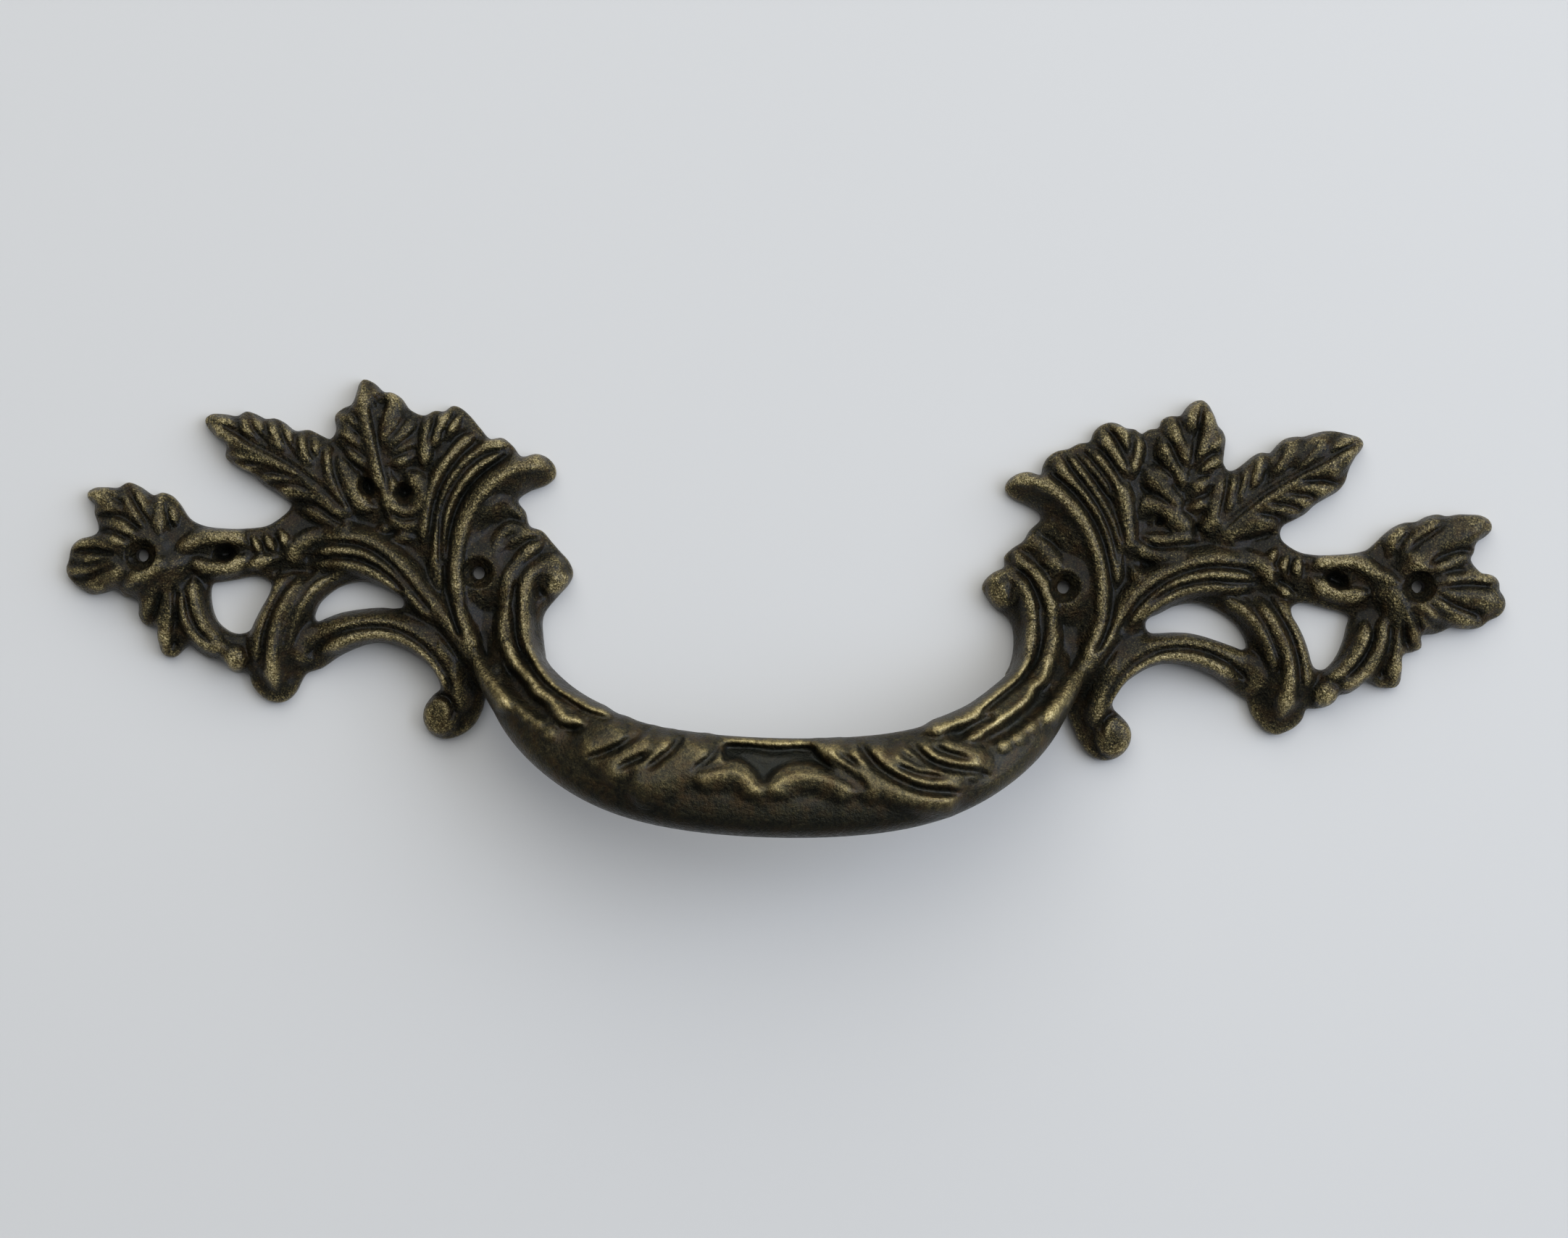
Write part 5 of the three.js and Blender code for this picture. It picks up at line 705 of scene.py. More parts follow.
class Plan:
    """A grid of heights over the drawing, on which lines of carving are drawn."""

    def __init__(self, low, shape, cell):
        self.cell = cell
        self.low = np.array(low, float)
        self.shape = (int(shape[0]), int(shape[1]))
        self.x = low[0] + cell * np.arange(shape[0])
        self.y = low[1] + cell * np.arange(shape[1])

    def level(self, value=0.0):
        """A new layer of the grid with one height everywhere."""
        return np.full(self.shape, value, np.float32)

    def distance_to(self, x, y):
        """Distance of every grid point from one place."""
        return np.hypot(self.x[:, None] - x, self.y[None, :] - y)

    def window(self, line, margin):
        """Slices of the grid that hold a line with a margin round it."""
        first = np.floor((line.min(axis=0) - margin - self.low) / self.cell).astype(int)
        last = np.ceil((line.max(axis=0) + margin - self.low) / self.cell).astype(int) + 1
        first = np.clip(first, 0, self.shape)
        last = np.clip(last, 0, self.shape)
        return slice(first[0], last[0]), slice(first[1], last[1])

    def nearest(self, line, window):
        """Distance to a polyline, and distance along it, for each grid point of a window."""
        px = self.x[window[0]][:, None, None]
        py = self.y[window[1]][None, :, None]
        a, b = line[:-1], line[1:]
        d = b - a
        size = np.maximum((d ** 2).sum(axis=1), TINY)
        t = ((px - a[:, 0]) * d[:, 0] + (py - a[:, 1]) * d[:, 1]) / size
        t = np.clip(t, 0, 1)
        away = np.hypot(px - a[:, 0] - t * d[:, 0], py - a[:, 1] - t * d[:, 1])
        pick = away.argmin(axis=2)[:, :, None]
        length = np.sqrt(size)
        start = np.cumsum(length) - length
        along = np.take_along_axis(start + t * length, pick, axis=2)[:, :, 0]
        return np.take_along_axis(away, pick, axis=2)[:, :, 0], along, length.sum()

    def draw(self, heights, stroke, rise, sharpness=0.75, taper=END_TAPER, share=END_SHARE):
        """Raise a ridge: rise x swell x (1 - (distance / half width)^2)^sharpness.

        The half width and the rise swell from a share at each end to the whole over the taper,
        as a sine. Where ridges meet, the higher one stays, so that a sharp valley is left."""
        half_width, points = stroke[0], stroke[1:]
        line = sample_curve(points)
        window = self.window(line, half_width)
        away, along, length = self.nearest(line, window)
        from_end = np.minimum(along, length - along)
        swell = share + (1 - share) * np.sin(np.minimum(1, from_end / taper) * math.pi / 2)
        dome = np.maximum(0, 1 - (away / (half_width * swell)) ** 2) ** sharpness
        heights[window] = np.maximum(heights[window], rise * swell * dome)

    def with_ball(self, heights, x, y, radius, rise):
        """Heights with a ball cap at a place: rise x the root of (1 - (distance / radius)^2)."""
        inside = np.maximum(0, 1 - (self.distance_to(x, y) / radius) ** 2)
        return np.maximum(heights, rise * np.sqrt(inside))

    def signed_distance(self, outline, reach=EDGE_REACH):
        """Distance inside a closed outline, up to a reach, and below nothing outside it."""
        closed = np.vstack([outline, outline[:1]])
        inside = np.zeros(self.shape, bool)
        for (x1, y1), (x2, y2) in zip(closed[:-1], closed[1:]):
            if y1 == y2:
                continue
            rows = np.flatnonzero((self.y > min(y1, y2)) & (self.y <= max(y1, y2)))
            crossing = x1 + (self.y[rows] - y1) * (x2 - x1) / (y2 - y1)
            inside[:, rows] ^= self.x[:, None] < crossing[None, :]
        distance = self.level(reach)
        run = 12
        for start in range(0, len(closed) - 1, run):
            piece = closed[start:start + run + 1]
            window = self.window(piece, reach)
            away = self.nearest(piece, window)[0]
            distance[window] = np.minimum(distance[window], away)
        return np.where(inside, distance, -distance)

    def blurred(self, values, radius):
        """Gaussian blur with a radius in millimetres, as one pass along x and one along y."""
        reach = max(1, int(math.ceil(2.5 * radius / self.cell)))
        offset = np.arange(-reach, reach + 1)
        weight = np.exp(-0.5 * (offset * self.cell / radius) ** 2)
        weight /= weight.sum()
        for axis in (0, 1):
            pad = [(0, 0), (0, 0)]
            pad[axis] = (reach, reach)
            wide = np.pad(values, pad, mode="edge")
            size = values.shape[axis]
            values = sum(w * np.take(wide, np.arange(i, i + size), axis=axis)
                         for i, w in enumerate(weight))
        return values

    def read(self, values, x, y):
        """Values of the grid at any points, by bilinear interpolation."""
        u = np.clip((x - self.low[0]) / self.cell, 0, self.shape[0] - 1.001)
        v = np.clip((y - self.low[1]) / self.cell, 0, self.shape[1] - 1.001)
        i, j = u.astype(int), v.astype(int)
        u, v = u - i, v - j
        return ((1 - u) * (1 - v) * values[i, j] + u * (1 - v) * values[i + 1, j]
                + (1 - u) * v * values[i, j + 1] + u * v * values[i + 1, j + 1])


def cut_round(a, b, radius):
    """What two shapes share, with their common edge rounded to a radius. Inside is above 0."""
    return (np.maximum(radius, np.minimum(a, b))
            - np.hypot(np.maximum(radius - a, 0), np.maximum(radius - b, 0)))


def join_round(a, b, radius):
    """Two shapes joined, with a fillet of a radius in the corner between them."""
    return (np.minimum(-radius, np.maximum(a, b))
            + np.hypot(np.maximum(radius + a, 0), np.maximum(radius + b, 0)))


def smooth_step(low, high, values):
    """0 below low, 1 above high and 3 t^2 - 2 t^3 between, where t is the share of the way."""
    t = np.clip((values - low) / (high - low), 0, 1)
    return t * t * (3 - 2 * t)


def ground_heights(plan, grounds, masses, flanks):
    """Heights of one wing's smooth ground above the plate."""
    ground = plan.level()
    for half_width, *points in grounds:
        plan.draw(ground, [half_width * GROUND_SPREAD, *points], GROUND - PLATE,
                  sharpness=1.2, taper=4, share=0.5)
    for flank in flanks:
        plan.draw(ground, flank, FLANK_SHARE * (MASS - PLATE), sharpness=1.2, taper=4, share=0.5)
    mass = plan.level()
    for half_width, *points in masses:
        plan.draw(mass, [half_width * MASS_SPREAD, *points], MASS - PLATE,
                  sharpness=0.9, taper=4, share=0.5)
    for x, y in SCREW_HOLES:
        mound = 1 - smooth_step(MOUND_TOP, MOUND_FOOT, plan.distance_to(x, y))
        mass = np.maximum(mass, HOLE_MOUND * mound)
    return plan.blurred(np.maximum(ground, mass), GROUND_BLUR)


def carving_heights(plan):
    """How far the carving stands above or below the smooth form, seen from the front.

    Ridges, balls and beads are raised, hollows and slashes are cut, and the grip's recess is
    sunk with its ripples left standing. The grip's share of the plan is blurred more."""
    ridges = plan.level()
    for rise, widening, strokes in CARVING:
        for half_width, *points in strokes:
            plan.draw(ridges, [half_width * widening, *points], rise, sharpness=0.85)
    for x, y, radius in left_balls + right_balls:
        ridges = plan.with_ball(ridges, x, y, radius, BALL_RISE)
    for x, y in bead_places:
        ridges = plan.with_ball(ridges, x, y, BEAD_RADIUS, BEAD_RISE)
    sunk = plan.level()
    for half_width, depth, *points in left_hollow + right_hollow:
        share = DEEP_SHARE if depth > DEEP_FROM and half_width > WIDE_FROM else SHALLOW_SHARE
        plan.draw(sunk, [HOLLOW_SPREAD * half_width, *points], share * depth,
                  sharpness=0.9, taper=1.2, share=0.3)
    for half_width, depth, *points in slash_lines:
        plan.draw(sunk, [HOLLOW_SPREAD * half_width, *points], depth,
                  sharpness=0.9, taper=1.6, share=0.25)
    recess = plan.signed_distance(sample_curve(recess_outline, 0.2, closed=True))
    ridges = ridges * (1 - smooth_step(-0.1, 0.3, recess))
    ripples = plan.level()
    for ripple in recess_ripples:
        plan.draw(ripples, ripple, RIPPLE_RISE, sharpness=0.85)
    carved = ridges - sunk - (RECESS_DEPTH - ripples) * smooth_step(-0.1, 0.8, recess)
    on_grip = (smooth_step(*GRIP_FROM, -plan.y)[None, :]
               * (1 - smooth_step(*GRIP_TO, np.abs(plan.x)))[:, None])
    return ((1 - on_grip) * plan.blurred(carved, WING_BLUR)
            + on_grip * plan.blurred(carved, GRIP_BLUR))


def bow_turn(angle):
    """The bow's angle kept within its half turn, and its sine; past a root it runs on straight."""
    turned = np.clip(angle, 0, math.pi)
    beyond = np.maximum(0, -angle) + np.maximum(0, angle - math.pi)
    return turned, np.sin(turned) - beyond


def bow_guess(x, y, z):
    """Angle of the bow near a point: from its share of the drop and rise, and from its x."""
    share = ((ROOT_Y - y) * DROP + (z - ROOT_Z) * RISE) / (DROP ** 2 + RISE ** 2)
    past_root = np.where(x < 0, share, math.pi - share)
    return np.where(share > 0, np.arctan2(share, -x / ROOT_X), past_root)


def bow_centre(angle):
    """Centre line of the grip: (-R cos a, root - drop sin a, root + rise sin a).

    R is the root's x times (1 + flatness sin^6 a), and a little more at the roots, as a bell."""
    turned, s = bow_turn(angle)
    flare = ROOT_FLARE * np.exp(-(np.sin(turned) / FLARE_REACH) ** 2)
    reach = ROOT_X * (1 + FLATNESS * np.sin(turned) ** 6) + flare
    return -reach * np.cos(turned), ROOT_Y - DROP * s, ROOT_Z + RISE * s


def bow_frame(angle):
    """Unit vector along the bow and its speed, then unit vectors out of its face and across it."""
    turned = bow_turn(angle)[0]
    s, c = np.sin(turned), np.cos(turned)
    along = np.stack([ROOT_X * (s * (1 + FLATNESS * s ** 6) - 6 * FLATNESS * s ** 5 * c ** 2),
                      -DROP * c, RISE * c])
    speed = np.sqrt((along ** 2).sum(axis=0))
    along = along / speed
    toward = np.array([0, math.sin(LEAN), math.cos(LEAN)]).reshape(3, *[1] * np.ndim(angle))
    face = toward - (along * toward).sum(axis=0) * along
    face = face / np.sqrt((face ** 2).sum(axis=0))
    across = np.cross(face, along, axis=0)
    return along, speed, face, across


def seen(x, y, z):
    """Where a point appears in the drawing: it spreads from the view axis with its height."""
    spread = VIEW_DISTANCE / (VIEW_DISTANCE - (z - VIEW_PLANE))
    return VIEW_AXIS[0] + (x - VIEW_AXIS[0]) * spread, VIEW_AXIS[1] + (y - VIEW_AXIS[1]) * spread


def grip_field(x, y, z, plan, carving):
    """Depth inside the grip, in millimetres, for arrays of points.

    The nearest place on the bow is found by stepping the angle until the point lies square to
    the bow. There the section is |c / w|^side power + |f / b|^face power = 1, with c across and
    f out of the face, and the carving is added on the face's side."""
    angle = bow_guess(x, y, z)
    for _ in range(BOW_STEPS):
        centre = bow_centre(angle)
        along, speed = bow_frame(angle)[:2]
        lag = sum(a * (p - c) for a, p, c in zip(along, (x, y, z), centre))
        angle = np.clip(angle + STEP_SHARE * lag / speed, -OVERRUN, math.pi + OVERRUN)
    centre = bow_centre(angle)
    along, _, face, across = bow_frame(angle)
    offset = [p - c for p, c in zip((x, y, z), centre)]
    beyond = np.abs(sum(a * o for a, o in zip(along, offset)))
    f = sum(a * o for a, o in zip(face, offset))
    c = sum(a * o for a, o in zip(across, offset))
    turned = bow_turn(angle)[0]
    from_root = np.degrees(np.minimum(turned, math.pi - turned))
    w = LEG_HALF_WIDTH + (GRIP_HALF_WIDTH - LEG_HALF_WIDTH) * np.abs(np.sin(turned)) ** WIDTH_POWER
    w = w * (1 - ROOT_NARROWING * np.abs(angle - turned))
    full = ROOT_BULGE + (1 - ROOT_BULGE) * smooth_step(0, BULGE_FULL, from_root)
    b = np.where(f > 0, FACE_BULGE, BACK_BULGE) * full
    u, v = np.abs(c / w) + TINY, np.abs(f / b) + TINY
    power = SIDE_POWER + ROOT_SQUARENESS * (1 - smooth_step(0, SQUARENESS_GONE, from_root))
    level = u ** power + v ** FACE_POWER
    slope = np.hypot(power * u ** (power - 1) / w, FACE_POWER * v ** (FACE_POWER - 1) / b)
    least_slope, far_outside = 0.3, -4
    depth = np.maximum((1 - level) / np.maximum(slope, least_slope), far_outside)
    carved = plan.read(carving, *seen(x, y, z)) * smooth_step(-1.4, 0.4, f)
    return depth + carved - END_SLOPE * beyond


def surface_net(field, low, cell):
    """Skin of the places where a field on a grid passes 0.

    Each grid cube that the skin crosses gets one point, the mean of where its edges cross.
    Each grid edge that crosses gets one quad, joining the four cubes round it."""
    inside = field > 0
    nx, ny, nz = (n - 1 for n in field.shape)
    corners = np.zeros((nx, ny, nz), np.uint8)
    offsets = [(i, j, k) for i in (0, 1) for j in (0, 1) for k in (0, 1)]
    for i, j, k in offsets:
        corners += inside[i:nx + i, j:ny + j, k:nz + k]
    mixed = (corners > 0) & (corners < len(offsets))
    cubes = np.argwhere(mixed)
    number = np.full(mixed.shape, -1, np.int32)
    number[mixed] = np.arange(len(cubes))
    total = np.zeros((len(cubes), 3))
    count = np.zeros(len(cubes))
    for axis in range(3):
        step = np.eye(3, dtype=int)[axis]
        for offset in offsets:
            if offset[axis]:
                continue
            a = cubes + offset
            b = a + step
            fa, fb = field[tuple(a.T)], field[tuple(b.T)]
            crosses = (fa > 0) != (fb > 0)
            t = fa[crosses] / (fa[crosses] - fb[crosses])
            total[crosses] += offset + t[:, None] * step
            count += crosses
    points = low + cell * (cubes + total / count[:, None])
    quads = []
    for axis in range(3):
        u, v = (axis + 1) % 3, (axis + 2) % 3
        near = [slice(1, n - 1) for n in field.shape]
        far = list(near)
        near[axis] = slice(0, field.shape[axis] - 1)
        far[axis] = slice(1, field.shape[axis])
        a, b = inside[tuple(near)], inside[tuple(far)]
        edge = np.argwhere(a != b)
        leaving = a[tuple(edge.T)]
        shift = np.ones(3, int)
        shift[axis] = 0
        edge = edge + shift
        ring = []
        for du, dv in ((0, 0), (1, 0), (1, 1), (0, 1)):
            cube = edge.copy()
            cube[:, u] -= du
            cube[:, v] -= dv
            ring.append(number[tuple(cube.T)])
        ring = np.column_stack(ring)
        quads.append(np.where(leaving[:, None], ring, ring[:, ::-1]))
    return points, np.vstack(quads)


def box_mean(values, reach):
    """Mean of a 3-D grid over cubes that reach this many cells each way, by running sums."""
    for axis in range(3):
        pad = [(0, 0)] * 3
        pad[axis] = (reach + 1, reach)
        sums = np.cumsum(np.pad(values, pad, mode="edge"), axis=axis, dtype=np.float32)
        size = values.shape[axis]
        top = np.take(sums, np.arange(2 * reach + 1, 2 * reach + 1 + size), axis=axis)
        low = np.take(sums, np.arange(0, size), axis=axis)
        values = (top - low) / (2 * reach + 1)
    return values


def read_grid(values, low, cell, points):
    """Values of a 3-D grid at points, by trilinear interpolation."""
    place = np.clip((points - low) / cell, 0, np.array(values.shape) - 1.001)
    i = place.astype(int)
    t = place - i
    total = 0
    for dx in (0, 1):
        for dy in (0, 1):
            for dz in (0, 1):
                weight = (np.abs(1 - dx - t[:, 0]) * np.abs(1 - dy - t[:, 1])
                          * np.abs(1 - dz - t[:, 2]))
                total = total + weight * values[i[:, 0] + dx, i[:, 1] + dy, i[:, 2] + dz]
    return total


def edge_distance(plan):
    """Distance inside the wings' outlines and outside their windows, on the plan."""
    edge = plan.level(-EDGE_REACH)
    for outline in (left_outline, right_outline):
        line = sample_curve(outline, OUTLINE_STEP, closed=True)
        edge = np.maximum(edge, plan.signed_distance(line))
    for window in (left_end_window, left_scroll_window, right_end_window, right_scroll_window):
        line = sample_curve(window, OUTLINE_STEP, closed=True)
        edge = np.minimum(edge, -plan.signed_distance(line))
    return edge


def wing_field(plan, relief, edge, heights):
    """Depth inside the wings: under their relief, within their edge and outside the holes.

    Depth under the relief is the height difference over the relief's steepness. Each hole is a
    bore that opens into a seat with a sloping floor."""
    gx, gy = np.gradient(relief, plan.cell)
    steepness = np.sqrt(1 + gx ** 2 + gy ** 2)
    top = (relief[:, :, None] - heights) / steepness[:, :, None]
    wing = cut_round(top, np.broadcast_to(edge[:, :, None], top.shape), RIM_ROUND)
    for x, y in SCREW_HOLES:
        away = plan.distance_to(x, y)[:, :, None]
        bore = away - BORE
        floor = COUNTERBORE_FLOOR - heights + COUNTERBORE_SLOPE * (away - BORE)
        seat = np.maximum(away - COUNTERBORE, floor)
        wing = cut_round(wing, np.minimum(bore, seat), HOLE_ROUND)
    return wing


def pull_field(cell):
    """Depth inside the casting on a 3-D grid: the wings, and the grip grown out of them."""
    low, high = np.array(GRID_LOW), np.array(GRID_HIGH)
    shape = np.ceil((high - low) / cell).astype(int) + 1
    x, y, z = (low[i] + cell * np.arange(shape[i]) for i in range(3))
    plan = Plan(low[:2], shape[:2], cell)
    ground = np.where(x[:, None] < 0,
                      ground_heights(plan, left_ground, left_mass, left_flank),
                      ground_heights(plan, right_ground, right_mass, right_flank))
    carving = carving_heights(plan)
    edge = edge_distance(plan)

    field = np.full(shape, -1.0, np.float32)
    spare_cells = 4
    wing_top = int((TALLEST_WING - low[2]) / cell) + spare_cells
    heights = z[None, None, :wing_top]
    field[:, :, :wing_top] = wing_field(plan, PLATE + ground + carving, edge, heights)

    first = ((np.array(GRIP_LOW) - low) / cell).astype(int)
    last = ((np.array(GRIP_HIGH) - low) / cell).astype(int)
    part = tuple(slice(a, b) for a, b in zip(first, last))
    bx, by, bz = np.meshgrid(x[part[0]], y[part[1]], z[part[2]], indexing="ij")
    centre = bow_centre(bow_guess(bx, by, bz))
    near = sum((p - c) ** 2 for p, c in zip((bx, by, bz), centre)) < BOW_SEARCH ** 2
    grip = np.full(bx.shape, -1.5, np.float32)
    grip[near] = grip_field(bx[near], by[near], bz[near], plan, carving)
    # The wide fillet lies only on the wing, under the grip's root, and fades out above it
    inward = smooth_step(0, 1.6, edge[part[0], part[1]])[:, :, None]
    under_root = smooth_step(-13.5, -9, by) * (1 - smooth_step(-7, -2.5, by))
    fillet = FILLET + WIDER_FILLET * under_root * inward
    field[part] = join_round(field[part], grip, fillet)
    field = cut_round(field, np.broadcast_to(z[None, None, :], field.shape), BACK_ROUND)
    return field, low, plan, carving


def linear(code):
    """Linear colour from an sRGB hex value, with full alpha."""
    parts = [int(code[i:i + 2], 16) / 255 for i in (1, 3, 5)]
    return [c / 12.92 if c <= 0.04045 else ((c + 0.055) / 1.055) ** 2.4 for c in parts] + [1.0]


def add_node(tree, kind, settings=None, links=None):
    """Add a node, set its properties and sockets, and link sockets to other nodes' outputs."""
    node = tree.nodes.new(kind)
    for name, value in (settings or {}).items():
        if isinstance(name, int) or name in node.inputs:
            node.inputs[name].default_value = value
        else:
            setattr(node, name, value)
    for name, source in (links or {}).items():
        tree.links.new(source, node.inputs[name])
    return node


def set_ramp(node, stops):
    """Fill a colour ramp from (position, colour) pairs."""
    ramp = node.color_ramp
    while len(ramp.elements) > 1:
        ramp.elements.remove(ramp.elements[-1])
    ramp.elements[0].position, ramp.elements[0].color = stops[0]
    for position, colour in stops[1:]:
        ramp.elements.new(position).color = colour


def antiqued_bronze():
    """Cast zinc alloy, bronze plated, blackened and rubbed back: near-black olive in the hollows, from
    the blackening and partly as painted shade, painted shade on the grip's underside, brown on the flats
    and brass where the polishing wheel reached the crests."""
    material = bpy.data.materials.new("antiqued_bronze")
    material.use_nodes = True
    tree = material.node_tree
    tree.nodes.clear()
    place = add_node(tree, "ShaderNodeTexCoord").outputs["Object"]
    wear, patina_and_shade, coarse = (
        add_node(tree, "ShaderNodeAttribute", {"attribute_name": name}).outputs["Fac"]
        for name in ("wear", "patina_and_shade", "coarse"))

    # Patterns by their scale per metre: clouds of patina about 4 mm across, mottling of 0.7 mm,
    # grains of 0.2 mm, brown stains of 2 mm and the pits of the mould, 0.4 mm across
    clouds, mottle, grains, stains, pits = (
        add_node(tree, "ShaderNodeTexNoise",
                 {"Scale": scale, "Detail": detail, "Roughness": roughness},
                 {"Vector": place}).outputs["Fac"]
        for scale, detail, roughness in ((260.0, 4.0, 0.6), (1300.0, 4.0, 0.7),
                                         (4200.0, 3.0, 0.75), (520.0, 3.0, 0.6),
                                         (2600.0, 3.0, 0.6)))
    # Each pattern swings the wear both ways; the grains fade where the metal is smooth
    cloudy, mottled, grainy = (
        add_node(tree, "ShaderNodeMath", {"operation": "MULTIPLY_ADD", 1: swing, 2: -swing / 2},
                 {0: pattern}).outputs[0]
        for pattern, swing in ((clouds, 0.5), (mottle, 1.0), (grains, 2.5)))
    speckled = add_node(tree, "ShaderNodeMath", {"operation": "MULTIPLY"},
                        {0: grainy, 1: coarse}).outputs[0]
    rubbed = wear
    for share in (cloudy, mottled, speckled):
        rubbed = add_node(tree, "ShaderNodeMath", {"operation": "ADD"},
                          {0: rubbed, 1: share}).outputs[0]

    # From blackened plating through olive brown to bare brass, as the wear grows
    tone = add_node(tree, "ShaderNodeValToRGB", {}, {0: rubbed})
    set_ramp(tone, [(0.0, linear("#1c1a11")), (0.3, linear("#393422")),
                    (0.55, linear("#60563a")), (0.78, linear("#94865a")),
                    (1.0, linear("#c5b587"))])
    # Warm brown stains where the blackening is thin, then near-black in the hollows, partly blackening
    # left there and partly painted shade, and painted shade under the grip
    stained = add_node(tree, "ShaderNodeMapRange", {1: 0.46, 2: 0.7, 3: 0.0, 4: 0.5},
                       {0: stains}).outputs[0]
    shade = tone.outputs["Color"]
    for amount, colour in ((stained, "#402d16"), (patina_and_shade, "#161914")):
        shade = add_node(tree, "ShaderNodeMix",
                         {"data_type": "RGBA", "blend_type": "MIX", 7: linear(colour)},
                         {0: amount, 6: shade}).outputs[2]

    # Blackening is less metallic than rubbed plating. The mottling varies the gloss, and the grip,
    # which has fewer dents to scatter the light, is a little rougher instead
    metal = add_node(tree, "ShaderNodeMapRange", {1: 0.1, 2: 0.6, 3: 0.9, 4: 1.0},
                     {0: rubbed}).outputs[0]
    spread = add_node(tree, "ShaderNodeMapRange", {1: 0.3, 2: 0.7, 3: 0.22, 4: 0.52},
                      {0: mottle}).outputs[0]
    even = add_node(tree, "ShaderNodeMapRange", {1: 0.35, 2: 1.0, 3: 0.13, 4: 0.0},
                    {0: coarse}).outputs[0]
    rough = add_node(tree, "ShaderNodeMath", {"operation": "ADD"},
                     {0: spread, 1: even}).outputs[0]
    # Dents of 0.4 mm and pits of 0.3 mm depth as light sees them, both weaker on the grip
    dents = add_node(tree, "ShaderNodeBump", {"Distance": 0.00042},
                     {"Height": mottle, "Strength": coarse}).outputs["Normal"]
    pitted = add_node(tree, "ShaderNodeBump", {"Distance": 0.00028},
                      {"Height": pits, "Normal": dents, "Strength": coarse}).outputs["Normal"]
    shader = add_node(tree, "ShaderNodeBsdfPrincipled",
                      {"Coat Weight": 0.14, "Coat Roughness": 0.2},
                      {"Base Color": shade, "Metallic": metal, "Roughness": rough,
                       "Normal": pitted})
    add_node(tree, "ShaderNodeOutputMaterial", {}, {"Surface": shader.outputs[0]})
    return material


def pale_card():
    """Matt pale card: almost no shine, so that only the pull's shadow shows on it."""
    material = bpy.data.materials.new("pale_card")
    material.use_nodes = True
    shader = material.node_tree.nodes["Principled BSDF"]
    shader.inputs["Base Color"].default_value = linear("#c1c0bb")
    shader.inputs["Roughness"].default_value = 0.9
    shader.inputs["Specular IOR Level"].default_value = 0.1
    return material


def thin(piece, triangles):
    """Give a piece a mesh with at most the triangles that the skin keeps."""
    if triangles > MOST_TRIANGLES:
        fewer = piece.modifiers.new("thin", "DECIMATE")
        fewer.ratio = MOST_TRIANGLES / triangles
        evaluated = piece.evaluated_get(bpy.context.evaluated_depsgraph_get())
        thinned = bpy.data.meshes.new_from_object(evaluated)
        piece.modifiers.clear()
        piece.data = thinned


def vertex_vectors(mesh, name):
    """The places or the normals of a mesh's vertices, one row each."""
    values = np.empty(3 * len(mesh.vertices))
    mesh.vertices.foreach_get(name, values)
    return values.reshape(-1, 3)


def mark_finish(mesh, field, low, plan, carving):
    """Store on each vertex how worn the metal is, how dark it is made in the hollows and underneath
    (blackening and painted shade), and how coarse it is, from 0 to 1.

    The mean of the solid in a cube round a point is 1/2 on a flat, less on a crest and more in a
    dip. Wear adds up the crests, the ridges that stand above the carving near them, and a little
    for the part of the grip that is handled; the darkening takes the greatest of the dips and the sunken
    ground, which get blackening and painted shade, and the underside, which gets painted shade only;
    coarse falls with the height."""
    to_part = np.array([*DRAWN_MIDDLE, 0])
    places = vertex_vectors(mesh, "co") * MM_PER_METRE + to_part
    x, y, z = places.T
    cell = plan.cell
    filled = (field > 0).astype(np.float32)
    fine, broad = (
        read_grid(box_mean(box_mean(filled, round(reach / cell)), round(reach / cell)),
                  low, cell, places)
        for reach in (0.5, 1.25))
    crest = 0.5 * (0.5 - fine) + 0.6 * (0.5 - broad)
    dip = 0.7 * (fine - 0.5) + 0.3 * (broad - 0.5)
    facing = smooth_step(0, 0.35, vertex_vectors(mesh, "normal")[:, 2])
    flat_place = seen(x, y, z)
    raised = facing * plan.read(carving - plan.blurred(carving, 1.4), *flat_place)
    sunken = facing * smooth_step(0.45, 1.3, -plan.read(carving, *flat_place))
    # Hands reach the front of the grip, and its underside is darkened as painted shade
    handled = smooth_step(9, 15, z) * smooth_step(-28.5, -24, y)
    painted_under_shade = smooth_step(26.5, 30.5, -y)
    wear = (0.6 * smooth_step(-0.03, 0.3, crest)
            + 0.3 * smooth_step(-0.15, 0.65, raised) * (1 - 0.35 * handled)
            + 0.12 * handled)
    for hole_x, hole_y in SCREW_HOLES:
        wear = wear * smooth_step(1.5, 2.4, np.hypot(x - hole_x, y - hole_y))
    # Darkening: blackening and painted shade in the dips and the sunken carving, painted shade on the
    # grip's underside
    patina_and_shade = np.maximum(np.maximum(smooth_step(0.04, 0.3, dip), 0.5 * painted_under_shade), 0.8 * sunken)
    coarse = 1 - 0.65 * smooth_step(7.5, 12, z)
    for name, values in (("wear", wear), ("patina_and_shade", patina_and_shade), ("coarse", coarse)):
        layer = mesh.attributes.new(name, "FLOAT", "POINT")
        layer.data.foreach_set("value", values.astype(np.float32))


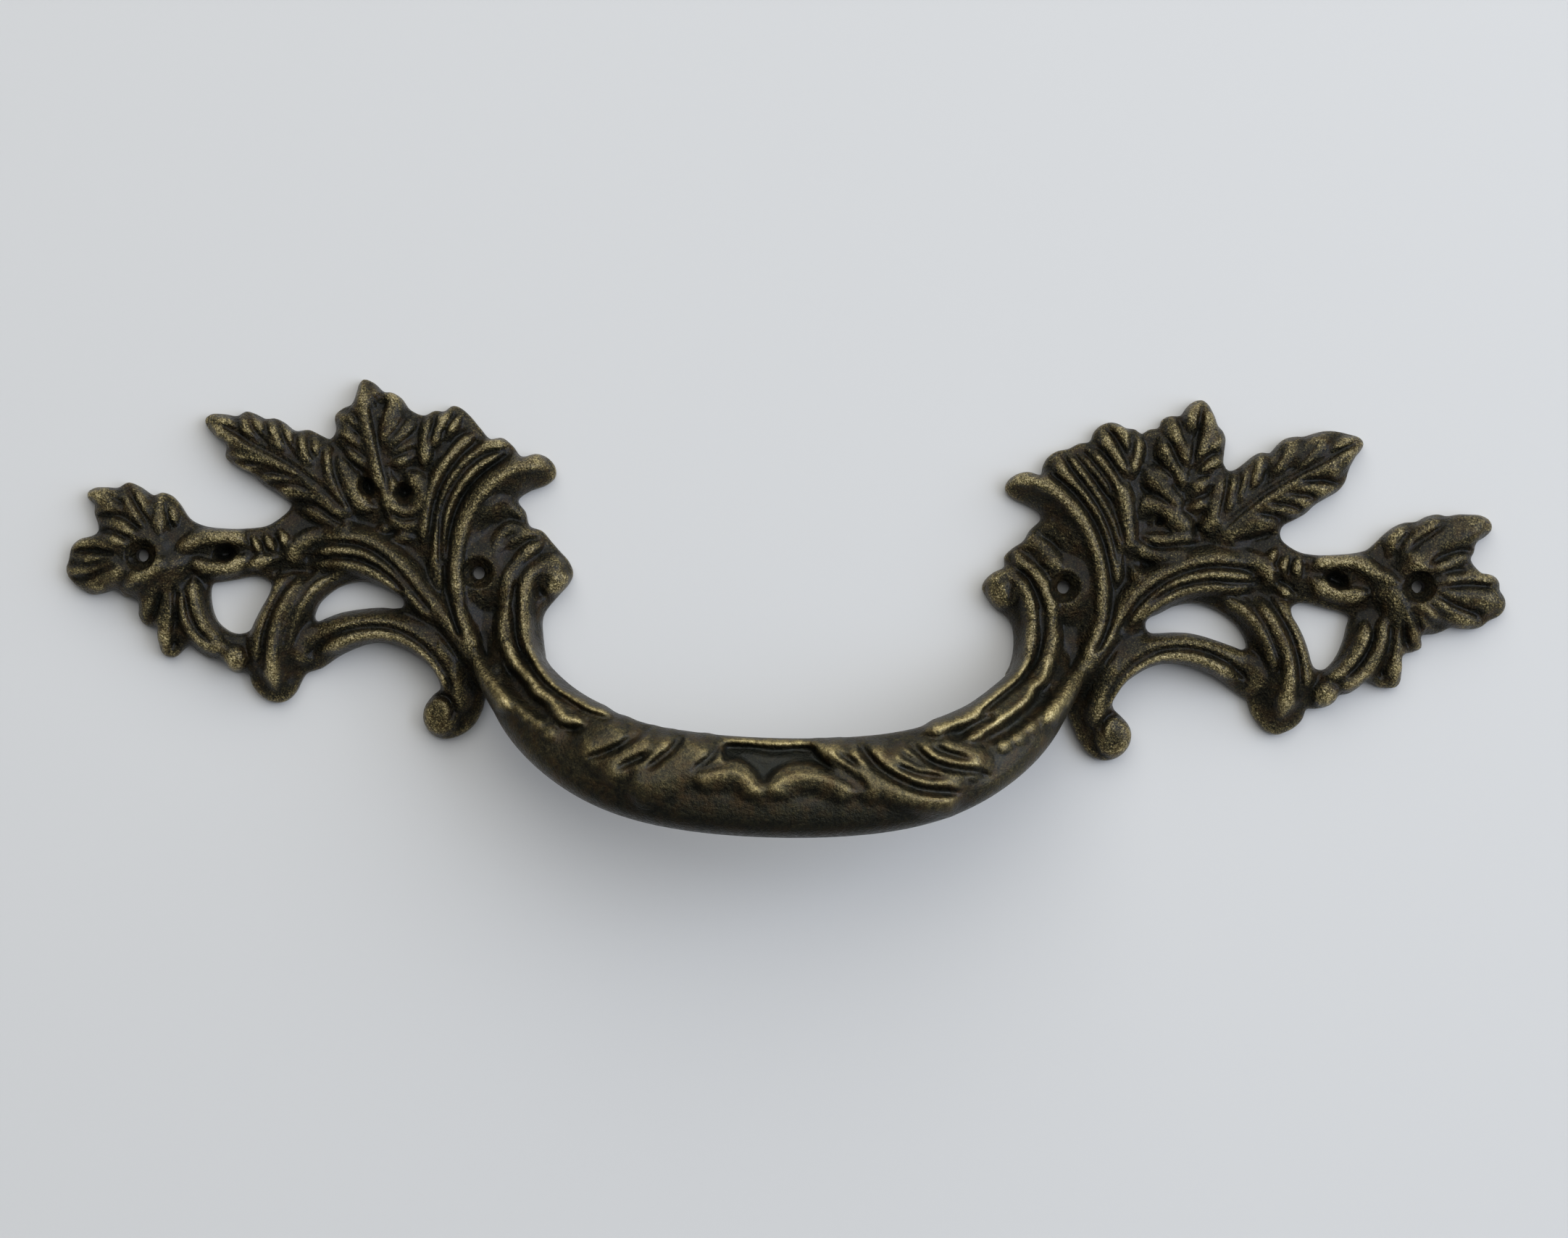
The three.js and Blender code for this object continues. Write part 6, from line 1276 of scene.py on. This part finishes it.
def add_pull():
    """The whole casting as one closed skin, in place of the part's only node."""
    cell = FINE_CELL
    field, low, plan, carving = pull_field(cell)
    points, quads = surface_net(field, low, cell)
    skin = bpy.data.meshes.new("pull_skin")
    to_part = np.array([*DRAWN_MIDDLE, 0])
    skin.from_pydata(((points - to_part) / MM_PER_METRE).tolist(), [], quads.tolist())
    piece = bpy.data.objects.new("carved_pull", skin)
    bpy.context.scene.collection.objects.link(piece)
    thin(piece, 2 * len(quads))
    mesh = piece.data
    mesh.name = "carved_pull"
    mark_finish(mesh, field, low, plan, carving)
    mesh.polygons.foreach_set("use_smooth", [True] * len(mesh.polygons))
    mesh.materials.append(antiqued_bronze())
    mesh.validate()
    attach(piece, "root")
    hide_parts("drawer_pull")


def add_floor():
    """A square card under the pull, level with its back."""
    h = FLOOR_HALF
    mesh = bpy.data.meshes.new("floor")
    mesh.from_pydata([(-h, -h, 0), (h, -h, 0), (h, h, 0), (-h, h, 0)], [], [(0, 1, 2, 3)])
    floor = bpy.data.objects.new("floor", mesh)
    bpy.context.scene.collection.objects.link(floor)
    mesh.materials.append(pale_card())


def add_lamp(name, place, size, watts, colour):
    """Wide soft box at a place, turned to the pull's middle, in metres."""
    lamp = bpy.data.lights.new(name, "AREA")
    lamp.shape = "RECTANGLE"
    lamp.size, lamp.size_y = size
    lamp.energy = watts
    lamp.color = linear(colour)[:3]
    holder = bpy.data.objects.new(name, lamp)
    holder.location = place
    direction = -np.array(place, float)
    tilt = math.atan2(math.hypot(direction[0], direction[1]), -direction[2])
    holder.rotation_euler = (tilt, 0, math.atan2(direction[0], -direction[1]) + math.pi)
    bpy.context.scene.collection.objects.link(holder)


def add_lights():
    """A dim, cool room, a wide window above the pull and a smaller patch of sky to its right."""
    world = bpy.data.worlds.new("studio")
    bpy.context.scene.world = world
    world.use_nodes = True
    background = world.node_tree.nodes["Background"]
    background.inputs["Color"].default_value = linear("#f4f7ff")
    background.inputs["Strength"].default_value = 0.17
    add_lamp("window_light", (0.35, 0.8, 1.05), (3.2, 2.0), 47, "#fafbfe")
    add_lamp("sky_light", (1.15, 0.15, 0.8), (1.2, 1.2), 14, "#cfdfff")


def add_camera():
    """A camera straight above the pull, with the drawing's own view axis, distance and turn."""
    camera = bpy.data.cameras.new("camera")
    camera.sensor_width = SENSOR_WIDTH
    camera.lens = SENSOR_WIDTH * VIEW_DISTANCE / VIEW_WIDTH
    camera.clip_start = 0.01
    holder = bpy.data.objects.new("camera", camera)
    holder.location = ((VIEW_AXIS[0] - DRAWN_MIDDLE[0]) / MM_PER_METRE,
                       (VIEW_AXIS[1] - DRAWN_MIDDLE[1]) / MM_PER_METRE,
                       (VIEW_DISTANCE + VIEW_PLANE) / MM_PER_METRE)
    holder.rotation_euler = (0, 0, VIEW_ROLL)
    bpy.context.scene.collection.objects.link(holder)
    bpy.context.scene.camera = holder


bpy.context.scene.view_settings.view_transform = "Standard"
add_camera()
add_lights()
add_floor()
add_pull()
